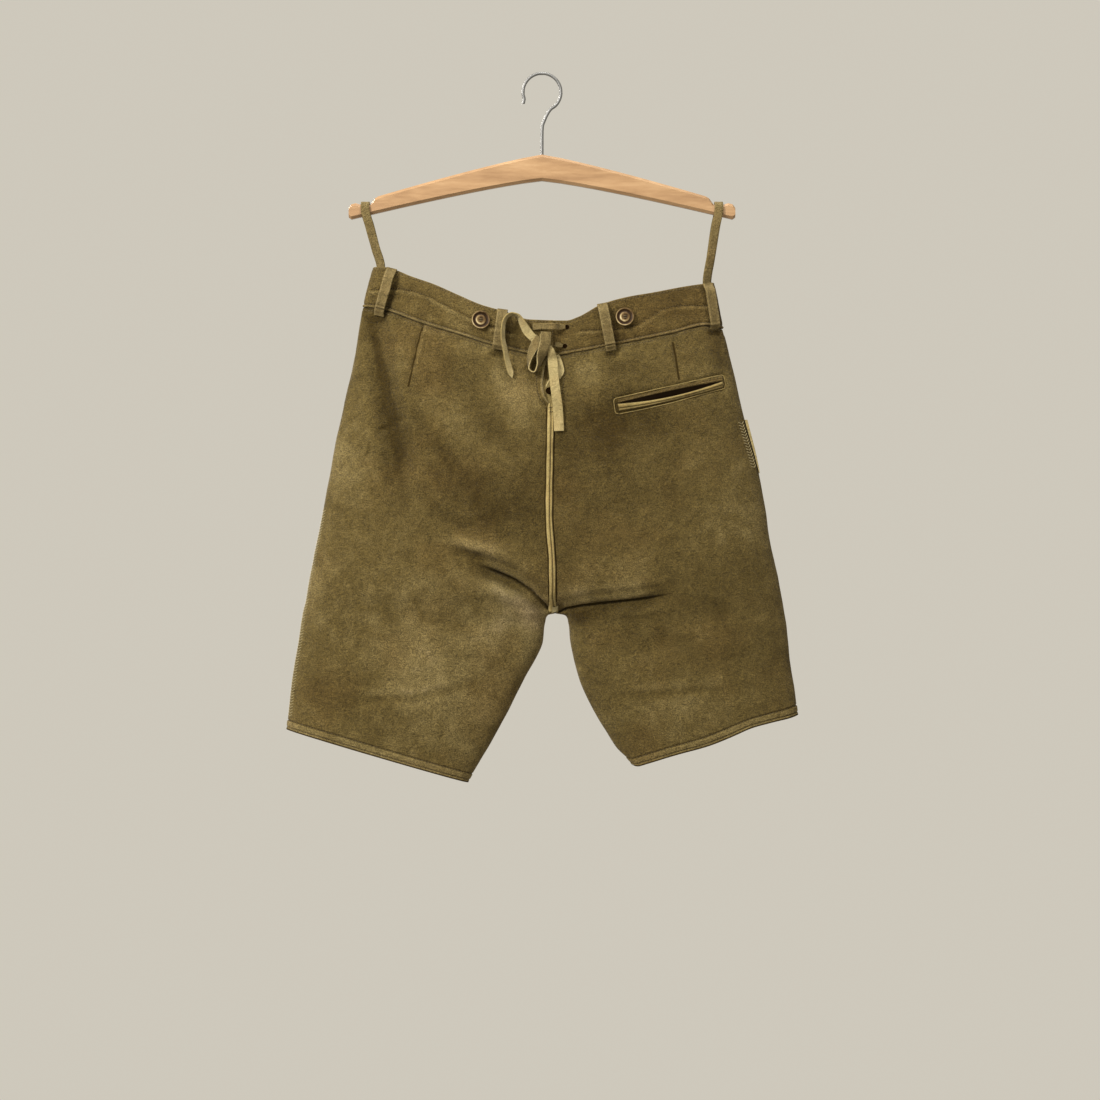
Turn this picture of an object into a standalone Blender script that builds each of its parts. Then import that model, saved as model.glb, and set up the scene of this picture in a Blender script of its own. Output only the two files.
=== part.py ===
"""Short leather trousers (lederhosen) that hang by two loops from a wooden clothes hanger.

The wearer's back faces -Y, +X is the wearer's right and +Z is up. The origin is the inside top of the
hanger's hook, where a rail carries it. Sizes are in millimetres, and a "drop" is a depth below the
origin, so z = -drop. Every cloth piece is a wall between an outer and an inner face that are worked
out from the sections below.
"""
import math
from collections import namedtuple

import bmesh
import bpy
import numpy as np

MM = 0.001
LEFT, RIGHT = "left", "right"
BACK, FRONT = "back", "front"
SIGN = {BACK: -1.0, FRONT: 1.0}

# ------------------------------------------------------------------ driving dimensions
SEAM_GAP = 0.3           # between the pieces of a seam, and under what lies on a piece
LEATHER = 2.0            # wall of the panels
HEM_TURN = 1.5           # what the turned hem adds to the wall
BAND = 2.6               # two layers of the waistband
BAND_PROUD = 0.6         # the waistband stands out from the panels by this
LAP = 3.4                # the left end of the band is lifted by this over the right one
LAP_LEFT_X = 12.6        # where the left back band ends
LAP_RIGHT_X = 3.0        # where the right back band ends, under the left one
FULLNESS = 0.75          # 1 is an ellipse; less makes the tube's section fuller and its edges blunter
FRONT_DIP = 9.0          # the front waist hangs lower than the back one at the middle

PANEL_COLUMNS = {BACK: 21, FRONT: 13}
BAND_ROWS = 3

# The tube of the trousers, from the waist seam to the hems: where each section's edges lie when it is
# looked at squarely from behind, how deep it is behind and in front, and how far each half wraps
# around, from 0.5 (both halves form one tube) to 1 (each half is a tube, the leg). "rows" is the number
# of mesh rows down to the next section.
Section = namedtuple(
    "Section",
    "name rows left_x left_drop right_x right_drop inner_left inner_right"
    " inner_left_drop inner_right_drop back front wrap",
)
SECTIONS = [
    Section("waist seam", 3, -206, 267, 208, 292, 10, 10, 324, 324, 24, 20, 0.50),
    Section("vent foot", 4, -216, 328, 218, 334, 10, 10, 380, 380, 34, 23, 0.50),
    Section("upper hip", 4, -232, 397, 233, 397, 8.5, 8.5, 443, 443, 40, 26, 0.50),
    Section("seat", 4, -245, 466, 251, 466, 8.5, 8.5, 506, 506, 43, 28, 0.50),
    Section("low seat", 4, -258, 535, 262, 535, 11.5, 11.5, 563, 563, 41, 28, 0.54),
    Section("under the seat", 2, -267, 581, 272, 581, 14.5, 14.5, 600, 600, 37, 27, 0.72),
    Section("crotch", 1, -271, 604, 276, 604, 15, 15, 616, 616, 33, 26, 1.00),
    Section("top of the gap", 2, -274, 617, 278, 617, 4, 30, 629, 629, 31, 26, 1.00),
    Section("inner thigh", 2, -277, 634, 281, 634, 1, 32.5, 651, 651, 30, 26, 1.00),
    Section("mid leg", 3, -284, 676, 286, 676, -22, 44, 698, 698, 28, 25, 1.00),
    Section("lower leg", 3, -290, 719, 291, 711, -54, 75, 760, 757, 26, 24, 1.00),
    Section("hem", 0, -293, 752, 294, 733, -85, 103, 813, 797, 24, 23, 1.00),
]
HEM_ROWS = 1

# The waist seam and the top edge of the band, from side to side.
Station = namedtuple("Station", "x drop")
SEAM_LINE = [
    Station(-206, 267), Station(-190, 269), Station(-175, 273), Station(-137, 287),
    Station(-91, 301), Station(-57, 312), Station(-15, 322), Station(10, 325),
    Station(24, 323), Station(78, 313), Station(150, 298),
    Station(189, 289), Station(208, 292),
]
TOP_LINE = [
    Station(-194, 221), Station(-179, 222), Station(-166, 226), Station(-152, 232),
    Station(-124, 242), Station(-97, 254), Station(-69, 266), Station(-41, 274),
    Station(-14, 283), Station(12, 284), Station(28, 284), Station(41, 280),
    Station(69, 265), Station(97, 257), Station(125, 252), Station(166, 244), Station(198, 239),
]

# Folds of the cloth, as routes seen from behind or in front: a hollow has a positive depth and a ridge a
# negative one. "start" and "end" are the shares of the depth at the two ends.
Fold = namedtuple("Fold", "name half_width depth start end route")
FOLDS = {
    BACK: [
        Fold("long hollow, left side", 13, 8, 0.8, 0.0,
             [(-197, 268), (-190, 311), (-184, 345), (-178, 385), (-166, 430), (-158, 489), (-154, 525)]),
        Fold("slanted hollow, left", 18, 5, 0.0, 0.2,
             [(-160, 375), (-125, 417), (-94, 460), (-52, 505), (-33, 540)]),
        Fold("inner hollow, left", 18, 4, 0.0, 0.0,
             [(-125, 325), (-79, 365), (-48, 417), (-29, 434), (-10, 465)]),
        Fold("ridge over the crease, left", 9, -5, 0.0, 0.4,
             [(-112, 532), (-85, 536), (-63, 543), (-38, 553), (-20, 566)]),
        Fold("crotch crease, left", 11, 11, 0.0, 0.8,
             [(-86, 557), (-62, 567), (-41, 578), (-20, 590), (-6, 599), (6, 616)]),
        Fold("crotch crease, right", 10, 10, 0.7, 0.0,
             [(22, 615), (46, 609), (77, 606), (113, 603), (133, 599), (165, 595)]),
        Fold("hollow under the pocket", 20, 4, 0.3, 0.0,
             [(24, 408), (86, 400), (162, 388)]),
        Fold("hollow beside the seam, right", 18, 4, 0.2, 0.0,
             [(20, 400), (24, 466), (36, 525)]),
    ],
    FRONT: [
        Fold("crotch crease, left", 12, 8, 0.0, 0.8,
             [(-100, 572), (-60, 580), (-25, 592), (5, 614)]),
        Fold("crotch crease, right", 12, 8, 0.8, 0.0,
             [(25, 613), (60, 596), (100, 586), (130, 584)]),
        Fold("slanted hollow, left", 20, 4, 0.0, 0.0,
             [(-165, 330), (-130, 400), (-70, 500)]),
        Fold("slanted hollow, right", 20, 4, 0.0, 0.0,
             [(170, 345), (140, 420), (95, 510)]),
    ],
}

# Belt loops: a strip from the band's top edge to just under the waist seam.
LOOP_WIDTH, LOOP_THICK, LOOP_CLEAR = 12.0, 1.8, 6.0
BeltLoop = namedtuple("BeltLoop", "name face top_x top_drop foot_x foot_drop")
BELT_LOOPS = [
    BeltLoop("belt_loop_side_left", BACK, -172, 226.5, -186, 278),
    BeltLoop("belt_loop_back_left", BACK, -45, 273.5, -51, 318),
    BeltLoop("belt_loop_back_right", BACK, 69, 267, 79, 319),
    BeltLoop("belt_loop_side_right", BACK, 189.5, 242.5, 197, 293),
    BeltLoop("belt_loop_front_left", FRONT, -105, 261, -108, 306),
    BeltLoop("belt_loop_front_right", FRONT, 125, 260, 128, 311),
]

# Horn buttons: brace buttons on the band, and the two that hold the flap.
BUTTON_RADIUS = 10.6
Button = namedtuple("Button", "name face x drop radius lift")
BUTTONS = [
    Button("brace_button_back_left", BACK, -70, 284, BUTTON_RADIUS, 0.0),
    Button("brace_button_back_right", BACK, 94.5, 280.5, BUTTON_RADIUS, 0.0),
    Button("brace_button_front_left", FRONT, -128, 263, BUTTON_RADIUS, 0.0),
    Button("brace_button_front_right", FRONT, 149, 266, BUTTON_RADIUS, 0.0),
    Button("flap_button_left", FRONT, -66, 294, 9.0, 3.0),
    Button("flap_button_right", FRONT, 86, 293, 9.0, 3.0),
]

# The back pocket on the right: the ends of its slit, the widest it sags open, its two welts.
SLIT_LEFT, SLIT_RIGHT = (85.0, 381.0), (206.0, 352.0)
SLIT_OPEN = 8.5
WELT_THICK = 1.4
WELT_UPPER, WELT_LOWER = 3.4, 5.0
BAG_DEPTH, BAG_SAG = 62.0, 8.0

STRIP_LIFT = 0.45        # the strip over the centre-back seam lies this far off the panels

# Flat lace of the vent. Each stretch is a route over the back: where it is seen, how far its middle is
# lifted off the cloth, how wide it is, and how far its width is turned out from the cloth.
LACE_THICK = 1.3
Pass = namedtuple("Pass", "x drop lift width turn")
LACE_RUN_UPPER = [Pass(-10, 293, 1.6, 7.5, 0), Pass(10, 292, 5.6, 8, 0), Pass(28, 291.5, 1.4, 8, 0)]
LACE_RUN_LOWER = [Pass(18.5, 313, 2.8, 6.5, 0), Pass(22, 313, 2.6, 7, 0), Pass(28, 313.5, 1.4, 7, 0)]
LACE_END_LEFT = [
    Pass(-8.5, 306, 2.0, 9, 0), Pass(-16, 298, 3.2, 10, 5), Pass(-22, 287, 6.0, 9.5, 40),
    Pass(-27, 279, 8.5, 8.5, 65), Pass(-34, 277, 10.0, 8, 70), Pass(-41, 281, 11.5, 8, 66),
    Pass(-44.5, 291, 12.0, 8, 60), Pass(-45, 304, 12.0, 8, 56), Pass(-42.5, 318, 10.5, 8, 50),
    Pass(-39.5, 332, 6.5, 8, 40), Pass(-36, 348, 3.4, 6, 20),
]
LACE_END_RIGHT = [
    Pass(12.5, 314, 8.0, 8, 0), Pass(12.5, 324, 7.0, 9, 0), Pass(13, 335, 4.6, 10.5, 0),
    Pass(14, 352, 3.0, 11, 0), Pass(16, 368, 2.4, 11, 0), Pass(18, 385, 2.2, 11.5, 0),
    Pass(19, 400, 2.2, 11.5, 0), Pass(19.5, 411, 2.2, 11.5, 0),
]
BOW = [
    Pass(5, 299, 7.8, 10, 0), Pass(4.5, 309, 8.0, 9.5, 10), Pass(1.5, 321, 8.2, 9.5, 30),
    Pass(-2, 331, 8.2, 9, 55), Pass(-5, 339, 8.2, 9, 80), Pass(-9.5, 344, 8.2, 9, 90),
    Pass(-14, 340.5, 8.2, 9, 90), Pass(-14.5, 333, 8.0, 9, 72), Pass(-12, 323, 7.2, 9, 50),
    Pass(-8, 314, 6.4, 9, 25), Pass(-3, 305, 6.0, 9, 8),
]
BOW_EAR = [
    Pass(17, 324, 0.7, 5, 0), Pass(20, 333, 0.7, 7, 0),
    Pass(22, 342, 0.7, 7, 0), Pass(19, 351, 0.7, 4, 0),
]
KNOT_FROM_X, KNOT_TO_X, KNOT_DROP, KNOT_HALF, KNOT_LIFT, KNOT_THICK = -3.0, 7.5, 305.0, 5.5, 1.1, 4.2

# Hanging loops and the hanger.
HANG_X = 203.0                        # where a loop lies over the arm
HANG_WIDTH, HANG_THICK = 11.5, 1.6
ARM_END_X, ARM_THICK = 222.0, 12.0
ARM_TOP_MID, ARM_TOP_END = 92.0, 150.0
ARM_HIGH_MID, ARM_HIGH_END = 30.0, 17.0
NOTCH = 5.0
HOOK_RADIUS, HOOK_WIRE = 20.0, 1.8

# ------------------------------------------------------------------ curves


def monotone(knots, values, at):
    """A smooth curve through the values that never overshoots between two of them."""
    knots, values = np.asarray(knots, float), np.asarray(values, float)
    step = np.diff(knots)
    slope = np.diff(values) / step
    tangent = np.zeros(len(knots))
    for i in range(1, len(knots) - 1):
        if slope[i - 1] * slope[i] > 0:
            before, after = 2 * step[i] + step[i - 1], step[i] + 2 * step[i - 1]
            tangent[i] = (before + after) / (before / slope[i - 1] + after / slope[i])
    tangent[0], tangent[-1] = slope[0], slope[-1]
    at = np.clip(np.asarray(at, float), knots[0], knots[-1])
    cell = np.clip(np.searchsorted(knots, at, side="right") - 1, 0, len(step) - 1)
    t = (at - knots[cell]) / step[cell]
    return (
        values[cell] * (1 + 2 * t) * (1 - t) ** 2
        + values[cell + 1] * t * t * (3 - 2 * t)
        + step[cell] * t * (1 - t) * (tangent[cell] * (1 - t) - tangent[cell + 1] * t)
    )


def ease(t):
    t = np.clip(t, 0.0, 1.0)
    return t * t * (3 - 2 * t)


SECTION_ROWS = np.cumsum([0] + [section.rows for section in SECTIONS[:-1]])
LAST_ROW = int(SECTION_ROWS[-1])
CROTCH_ROW = int(SECTION_ROWS[[section.name for section in SECTIONS].index("crotch")])


def column(name, row):
    return monotone(SECTION_ROWS, [getattr(section, name) for section in SECTIONS], row)


def line_drop(line, x):
    return monotone([station.x for station in line], [station.drop for station in line], x)


def fold_depth(face, x, drop):
    """How far the folds push the cloth in at a place seen squarely."""
    total = np.zeros(np.broadcast(x, drop).shape)
    for fold in FOLDS[face]:
        route = np.array(fold.route, float)
        lengths = np.linalg.norm(np.diff(route, axis=0), axis=1)
        ends = np.concatenate([[0.0], np.cumsum(lengths)]) / lengths.sum()
        nearest = np.full(total.shape, 1e9)
        place = np.zeros(total.shape)
        for i, (a, b) in enumerate(zip(route[:-1], route[1:])):
            along = ((x - a[0]) * (b[0] - a[0]) + (drop - a[1]) * (b[1] - a[1])) / lengths[i] ** 2
            along = np.clip(along, 0.0, 1.0)
            away = np.hypot(x - a[0] - along * (b[0] - a[0]), drop - a[1] - along * (b[1] - a[1]))
            closer = away < nearest
            nearest = np.where(closer, away, nearest)
            place = np.where(closer, ends[i] + along * (ends[i + 1] - ends[i]), place)
        across = np.clip(1 - (nearest / (2 * fold.half_width)) ** 2, 0.0, 1.0) ** 2
        taper = (fold.start + (1 - fold.start) * ease(place / 0.35)) * (
            fold.end + (1 - fold.end) * ease((1 - place) / 0.35)
        )
        total = total + fold.depth * across * taper
    return total


# ------------------------------------------------------------------ the cloth's outer face


def panel_squarely(half, face, share, row):
    """Where a point of a panel is seen squarely; share runs from 0 at the side to 1 at the inner edge."""
    toward = 1.0 if half == LEFT else -1.0
    side_x, side_drop = column(f"{half}_x", row), column(f"{half}_drop", row)
    inner_x = column(f"inner_{half}", row) - toward * SEAM_GAP / 2
    inner_drop = column(f"inner_{half}_drop", row)
    x = side_x + (inner_x - side_x) * share
    drop = side_drop + (inner_drop - side_drop) * share
    top_side, top_inner = column(f"{half}_x", 0), column(f"inner_{half}", 0)
    top_x = top_side + (top_inner - top_side) * share
    straight = column(f"{half}_drop", 0)
    straight = straight + (column(f"inner_{half}_drop", 0) - straight) * share
    fade = 1 - ease(row / SECTION_ROWS[3])
    drop = drop + (line_drop(SEAM_LINE, top_x) - straight) * fade
    if face == FRONT:
        drop = drop + FRONT_DIP * share * fade
    return x, drop


def widest_angle(row):
    return math.pi * np.clip(column("wrap", row), 0.5, 1.0)


def panel_outer(half, face, u, row):
    """Points of a panel, from its side seam (u = 0) to its inner seam (u = 1)."""
    u, row = np.broadcast_arrays(np.asarray(u, float), np.asarray(row, float))
    widest = widest_angle(row)
    angle = u * widest
    x, drop = panel_squarely(half, face, (1 - np.cos(angle)) / (1 - np.cos(widest)), row)
    return with_depth(face, x, drop, angle, column(face, row))


def with_depth(face, x, drop, angle, depth):
    """Gives a point seen squarely its depth, from its angle around the tube."""
    bulge = np.clip(np.sin(angle), 0.0, 1.0)
    deep = SEAM_GAP / 2 + depth * bulge**FULLNESS
    deep = deep - fold_depth(face, x, drop) * np.clip(bulge / 0.5, 0.0, 1.0)
    return np.stack([x, SIGN[face] * deep, -drop], axis=-1)


def band_squarely(half, face, share, height):
    """Where a point of the waistband is seen squarely; height is 0 at the seam and 1 at the top."""
    low = column(f"{half}_x", 0)
    high = TOP_LINE[0].x if half == LEFT else TOP_LINE[-1].x
    toward = 1.0 if half == LEFT else -1.0
    end = column(f"inner_{half}", 0) - toward * SEAM_GAP / 2
    if face == BACK:
        end = LAP_LEFT_X if half == LEFT else LAP_RIGHT_X
    side_x = low + (high - low) * height
    x = side_x + (end - side_x) * share
    seam = line_drop(SEAM_LINE, low + (end - low) * share) - SEAM_GAP
    top = line_drop(TOP_LINE, high + (end - high) * share)
    if face == FRONT:
        seam = seam + FRONT_DIP * share
        top = top + (FRONT_DIP + 3.0) * share + 1.0
    return x, seam + (top - seam) * height


def band_outer(half, face, u, height):
    """Points of a waistband piece: u as on the panel, height from 0 at the seam to 1 at the top."""
    u, height = np.broadcast_arrays(np.asarray(u, float), np.asarray(height, float))
    angle = u * math.pi / 2
    x, drop = band_squarely(half, face, 1 - np.cos(angle), height)
    points = with_depth(face, x, drop, angle, column(face, 0) - 2.0 * height)
    if face == BACK and half == LEFT:
        points[..., 1] -= LAP * ease((x + 22.0) / 16.0)
    return points


def normals(surface, half, face, u, v, step):
    """Directions that point out of the cloth, from small steps along the surface."""
    u, v = np.broadcast_arrays(np.asarray(u, float), np.asarray(v, float))
    before, after = np.clip(u - 0.012, 0, 1), np.clip(u + 0.012, 0, 1)
    across = surface(half, face, after, v) - surface(half, face, before, v)
    along = surface(half, face, u, v + step) - surface(half, face, u, v - step)
    out = np.cross(across, along)
    if half == RIGHT:
        out = -out
    if surface is panel_outer:
        out = -out
    return out * -SIGN[face] / np.linalg.norm(out, axis=-1, keepdims=True)


def keep_apart(points, half, face, row=None):
    """Keeps a wall on its own side of the side seams and, down to the crotch, of the centre seam."""
    x, y, z = points[..., 0], points[..., 1], points[..., 2]
    y = SIGN[face] * np.maximum(SIGN[face] * y, SEAM_GAP / 2)
    if row is not None:
        toward = 1.0 if half == LEFT else -1.0
        limit = toward * column(f"inner_{half}", row) - SEAM_GAP / 2
        x = np.where(row <= CROTCH_ROW, toward * np.minimum(toward * x, limit), x)
    return np.stack([x, y, z], axis=-1)


# ------------------------------------------------------------------ places on the cloth


def place_on(squarely, half, face, x, drop, low, high):
    """The share and the row (or height) of places that are seen squarely at (x, drop)."""
    low, high = np.full(x.shape, low), np.full(x.shape, high)
    for _ in range(30):
        place = (low + high) / 2
        side, inner = squarely(half, face, 0.0, place)[0], squarely(half, face, 1.0, place)[0]
        share = np.clip((x - side) / (inner - side), 0.0, 1.0)
        above = squarely(half, face, share, place)[1] < drop
        low, high = np.where(above, place, low), np.where(above, high, place)
    return share, place


def on_cloth(face, x, drop):
    """The outer points and the outward directions of the cloth behind places seen squarely."""
    x, drop = np.atleast_1d(np.asarray(x, float)), np.atleast_1d(np.asarray(drop, float))
    points, outs = np.zeros((len(x), 3)), np.zeros((len(x), 3))
    middle = monotone([section.inner_left_drop for section in SECTIONS[:7]],
                      [section.inner_left for section in SECTIONS[:7]], drop)
    for half in (LEFT, RIGHT):
        mine = x < middle if half == LEFT else x >= middle
        side_x, inner_x = getattr(SECTIONS[0], f"{half}_x"), getattr(SECTIONS[0], f"inner_{half}")
        seam = line_drop(SEAM_LINE, x)
        if face == FRONT:
            seam = seam + FRONT_DIP * (x - side_x) / (inner_x - side_x)
        for pick, band in ((mine & (drop < seam), True), (mine & (drop >= seam), False)):
            if not pick.any():
                continue
            if band:
                share, height = place_on(band_squarely, half, face, x[pick], drop[pick], 1.6, -0.1)
                u = np.arccos(1 - share) / (math.pi / 2)
                points[pick] = band_outer(half, face, u, height)
                outs[pick] = normals(band_outer, half, face, u, height, 0.05)
            else:
                share, row = place_on(panel_squarely, half, face, x[pick], drop[pick], 0.0, LAST_ROW)
                widest = widest_angle(row)
                u = np.arccos(1 - share * (1 - np.cos(widest))) / widest
                points[pick] = panel_outer(half, face, u, row)
                outs[pick] = normals(panel_outer, half, face, u, row, 0.2)
    return points, outs


def spot(face, x, drop):
    points, outs = on_cloth(face, x, drop)
    return points[0], outs[0]


# ------------------------------------------------------------------ meshes


def material(name, colour, roughness, metallic=0.0):
    found = bpy.data.materials.get(name)
    if found:
        return found
    made = bpy.data.materials.new(name)
    made.use_nodes = True
    shader = made.node_tree.nodes["Principled BSDF"]
    shader.inputs["Base Color"].default_value = (*colour, 1.0)
    shader.inputs["Roughness"].default_value = roughness
    shader.inputs["Metallic"].default_value = metallic
    made.diffuse_color = (*colour, 1.0)
    return made


def leather():
    return material("olive leather", (0.20, 0.145, 0.062), 0.85)


def pale_leather():
    return material("pale leather", (0.52, 0.42, 0.20), 0.80)


def horn():
    return material("horn", (0.33, 0.27, 0.19), 0.35)


def wood():
    return material("beech wood", (0.55, 0.38, 0.22), 0.50)


def steel():
    return material("steel wire", (0.62, 0.62, 0.62), 0.28, 1.0)


def add_object(name, vertices, faces, finish, smooth=True):
    """A closed mesh object from points in millimetres; its faces are turned to point out."""
    mesh = bpy.data.meshes.new(name)
    mesh.from_pydata([tuple(float(c) * MM for c in vertex) for vertex in vertices], [], faces)
    shape = bmesh.new()
    shape.from_mesh(mesh)
    bmesh.ops.recalc_face_normals(shape, faces=shape.faces[:])
    if shape.calc_volume(signed=True) < 0:
        bmesh.ops.reverse_faces(shape, faces=shape.faces[:])
    shape.to_mesh(mesh)
    shape.free()
    if smooth:
        mesh.shade_smooth()
        mesh.set_sharp_from_angle(angle=math.radians(40))
    mesh.materials.append(finish)
    made = bpy.data.objects.new(name, mesh)
    bpy.context.scene.collection.objects.link(made)
    return made


def wall(name, outer, inner, finish):
    """A closed wall between two grids of points of the same shape."""
    rows, columns = outer.shape[:2]
    vertices = np.concatenate([outer.reshape(-1, 3), inner.reshape(-1, 3)])
    second = rows * columns
    faces = []
    for r in range(rows - 1):
        for c in range(columns - 1):
            a, b = r * columns + c, r * columns + c + 1
            faces.append((a, b, b + columns, a + columns))
            faces.append((second + a, second + a + columns, second + b + columns, second + b))
    top = list(range(columns))
    right = [r * columns + columns - 1 for r in range(1, rows)]
    bottom = [(rows - 1) * columns + c for c in range(columns - 2, -1, -1)]
    left = [r * columns for r in range(rows - 2, 0, -1)]
    rim = top + right + bottom + left
    for a, b in zip(rim, rim[1:] + rim[:1]):
        faces.append((b, a, second + a, second + b))
    return add_object(name, vertices, faces, finish)


def prism(name, rings, finish, smooth=True):
    """A closed tube through rings of points, with flat ends."""
    count = len(rings[0])
    vertices = [point for ring in rings for point in ring]
    faces = [tuple(range(count)), tuple(range(len(vertices) - 1, len(vertices) - 1 - count, -1))]
    for r in range(len(rings) - 1):
        for i in range(count):
            a, b = r * count + i, r * count + (i + 1) % count
            faces.append((a, b, b + count, a + count))
    return add_object(name, vertices, faces, finish, smooth)


def strip(name, centres, across, outs, width, thick, finish):
    """A flat strap: its centre line lies in its back face, and it is as thick as given along outs."""
    rings = []
    for centre, side, out in zip(centres, across, outs):
        half = side * width / 2
        rings.append([centre - half, centre + half, centre + half + out * thick, centre - half + out * thick])
    return prism(name, rings, finish, smooth=False)


def unit(vector):
    return np.asarray(vector, float) / np.linalg.norm(vector)


# ------------------------------------------------------------------ cloth pieces


def panel(half, face):
    columns = np.linspace(0, 1, PANEL_COLUMNS[face] + 1)
    rows = np.arange(LAST_ROW + 1, dtype=float)
    if face == FRONT:
        upper = np.linspace(0, CROTCH_ROW, 13)
        lower = np.linspace(CROTCH_ROW, LAST_ROW, 9)
        rows = np.concatenate([upper, lower[1:]])
    u, row = np.meshgrid(columns, rows)
    outer = panel_outer(half, face, u, row)
    out = normals(panel_outer, half, face, u, row, 0.2)
    thick = LEATHER + HEM_TURN * ease((row - (LAST_ROW - HEM_ROWS - 0.3)) / 0.5)
    inner = keep_apart(outer - out * thick[..., None], half, face, row)
    return wall(f"{face}_{half}", outer, inner, leather())


def waistband(half, face):
    columns = np.linspace(0, 1, PANEL_COLUMNS[face] + 1)
    u, height = np.meshgrid(columns, np.linspace(0, 1, BAND_ROWS + 1))
    base = band_outer(half, face, u, height)
    out = normals(band_outer, half, face, u, height, 0.05)
    outer = keep_apart(base + out * BAND_PROUD, half, face)
    inner = keep_apart(base + out * (BAND_PROUD - BAND), half, face)
    return wall(f"waistband_{face}_{half}", outer, inner, leather())


def patch(name, face, corners, columns, rows, lift, thick, finish, sag=0.0):
    """A piece between four corners, made from the cloth's points moved out by lift (or in, if it is
    negative), and further by sag at its middle."""
    a, b = np.meshgrid(np.linspace(0, 1, columns + 1), np.linspace(0, 1, rows + 1))
    a, b = a[..., None], b[..., None]
    top = np.array(corners[0]) * (1 - a) + np.array(corners[1]) * a
    foot = np.array(corners[3]) * (1 - a) + np.array(corners[2]) * a
    flat = top * (1 - b) + foot * b
    points, outs = on_cloth(face, flat[..., 0].ravel(), flat[..., 1].ravel())
    off = lift + sag * (np.sin(math.pi * a) * np.sqrt(np.sin(math.pi * b).clip(0))).reshape(-1, 1)
    inner = (points + outs * off).reshape(rows + 1, columns + 1, 3)
    outer = (points + outs * (off + thick)).reshape(rows + 1, columns + 1, 3)
    return wall(name, outer, inner, finish)


def seam_strip():
    """The pale strip over the centre-back seam, from the vent's foot to the crotch."""
    half_width, thick, nudge = 3.2, 1.3, 0.02
    rings = []
    for row in range(int(SECTION_ROWS[1]), CROTCH_ROW):
        edges = []
        for half in (LEFT, RIGHT):
            seam = panel_outer(half, BACK, 1.0, row)
            reach = np.linalg.norm(seam - panel_outer(half, BACK, 1.0 - nudge, row)) / nudge
            u = 1.0 - half_width / reach
            out = normals(panel_outer, half, BACK, u, row, 0.2)
            edges.append((panel_outer(half, BACK, u, row), out, seam))
        (left, left_out, seam), (right, right_out, other_seam) = edges
        out = unit(left_out + right_out)
        seam = (seam + other_seam) / 2
        rings.append([
            left + left_out * STRIP_LIFT,
            seam + out * STRIP_LIFT,
            right + right_out * STRIP_LIFT,
            right + right_out * (STRIP_LIFT + thick),
            seam + out * (STRIP_LIFT + 0.6 * thick),
            left + left_out * (STRIP_LIFT + thick),
        ])
    return prism("centre_back_strip", rings, pale_leather())


def vent_gusset():
    """The underlay behind the vent, inside both panels."""
    return patch("vent_gusset", BACK, [(-24, 331), (44, 328), (34, 398), (-16, 398)], 6, 5,
                 -LEATHER - 1.6, 1.2, leather())


def front_flap():
    """The drop flap, over the front panels and the band."""
    return patch("front_flap", FRONT, [(-80, 284), (100, 283), (88, 455), (-66, 455)], 10, 9,
                 BAND_PROUD + 0.5, 2.0, leather())


# ------------------------------------------------------------------ pieces on the cloth


def belt_loop(loop):
    start = np.array([loop.top_x, loop.top_drop])
    end = np.array([loop.foot_x, loop.foot_drop])
    out = spot(loop.face, *((start + end) / 2))[1]
    run = unit([end[0] - start[0], 0.0, start[1] - end[1]])
    across = unit(np.cross(out, run))
    centres, outs, sides = [], [], []
    for t in np.linspace(0, 1, 11):
        x, drop = start + (end - start) * t
        point, here = spot(loop.face, x, drop)
        rise = (LOOP_CLEAR - 0.8) * ease(min(t, 1 - t) / 0.22)
        centres.append(point + here * (BAND_PROUD + 0.5 + rise))
        outs.append(here)
        sides.append(unit(np.cross(here, np.cross(across, here))))
    return strip(loop.name, centres, sides, outs, LOOP_WIDTH, LOOP_THICK, leather())


def button(spec):
    """A turned horn disc: a rim, a groove and a flat boss in the middle."""
    r = spec.radius
    profile = [
        (0.0, 0.0), (0.72 * r, 0.0), (0.95 * r, 1.1), (r, 2.0), (0.93 * r, 3.0),
        (0.78 * r, 3.1), (0.66 * r, 1.9), (0.52 * r, 1.8), (0.44 * r, 2.6), (0.0, 2.7),
    ]
    point, out = spot(spec.face, spec.x, spec.drop)
    right = unit(np.cross([0.0, 0.0, 1.0], out))
    up = np.cross(out, right)
    foot = point + out * (BAND_PROUD + 0.45 + spec.lift)
    sides = 18
    vertices = [foot]
    for radius, height in profile[1:-1]:
        for i in range(sides):
            angle = 2 * math.pi * i / sides
            ring = right * math.cos(angle) + up * math.sin(angle)
            vertices.append(foot + ring * radius + out * height)
    vertices.append(foot + out * profile[-1][1])
    faces = []
    rings = len(profile) - 2
    for i in range(sides):
        j = (i + 1) % sides
        faces.append((0, 1 + j, 1 + i))
        faces.append((len(vertices) - 1, 1 + (rings - 1) * sides + i, 1 + (rings - 1) * sides + j))
        for k in range(rings - 1):
            a, b = 1 + k * sides, 1 + (k + 1) * sides
            faces.append((a + i, a + j, b + j, b + i))
    return add_object(spec.name, vertices, faces, horn())


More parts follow.
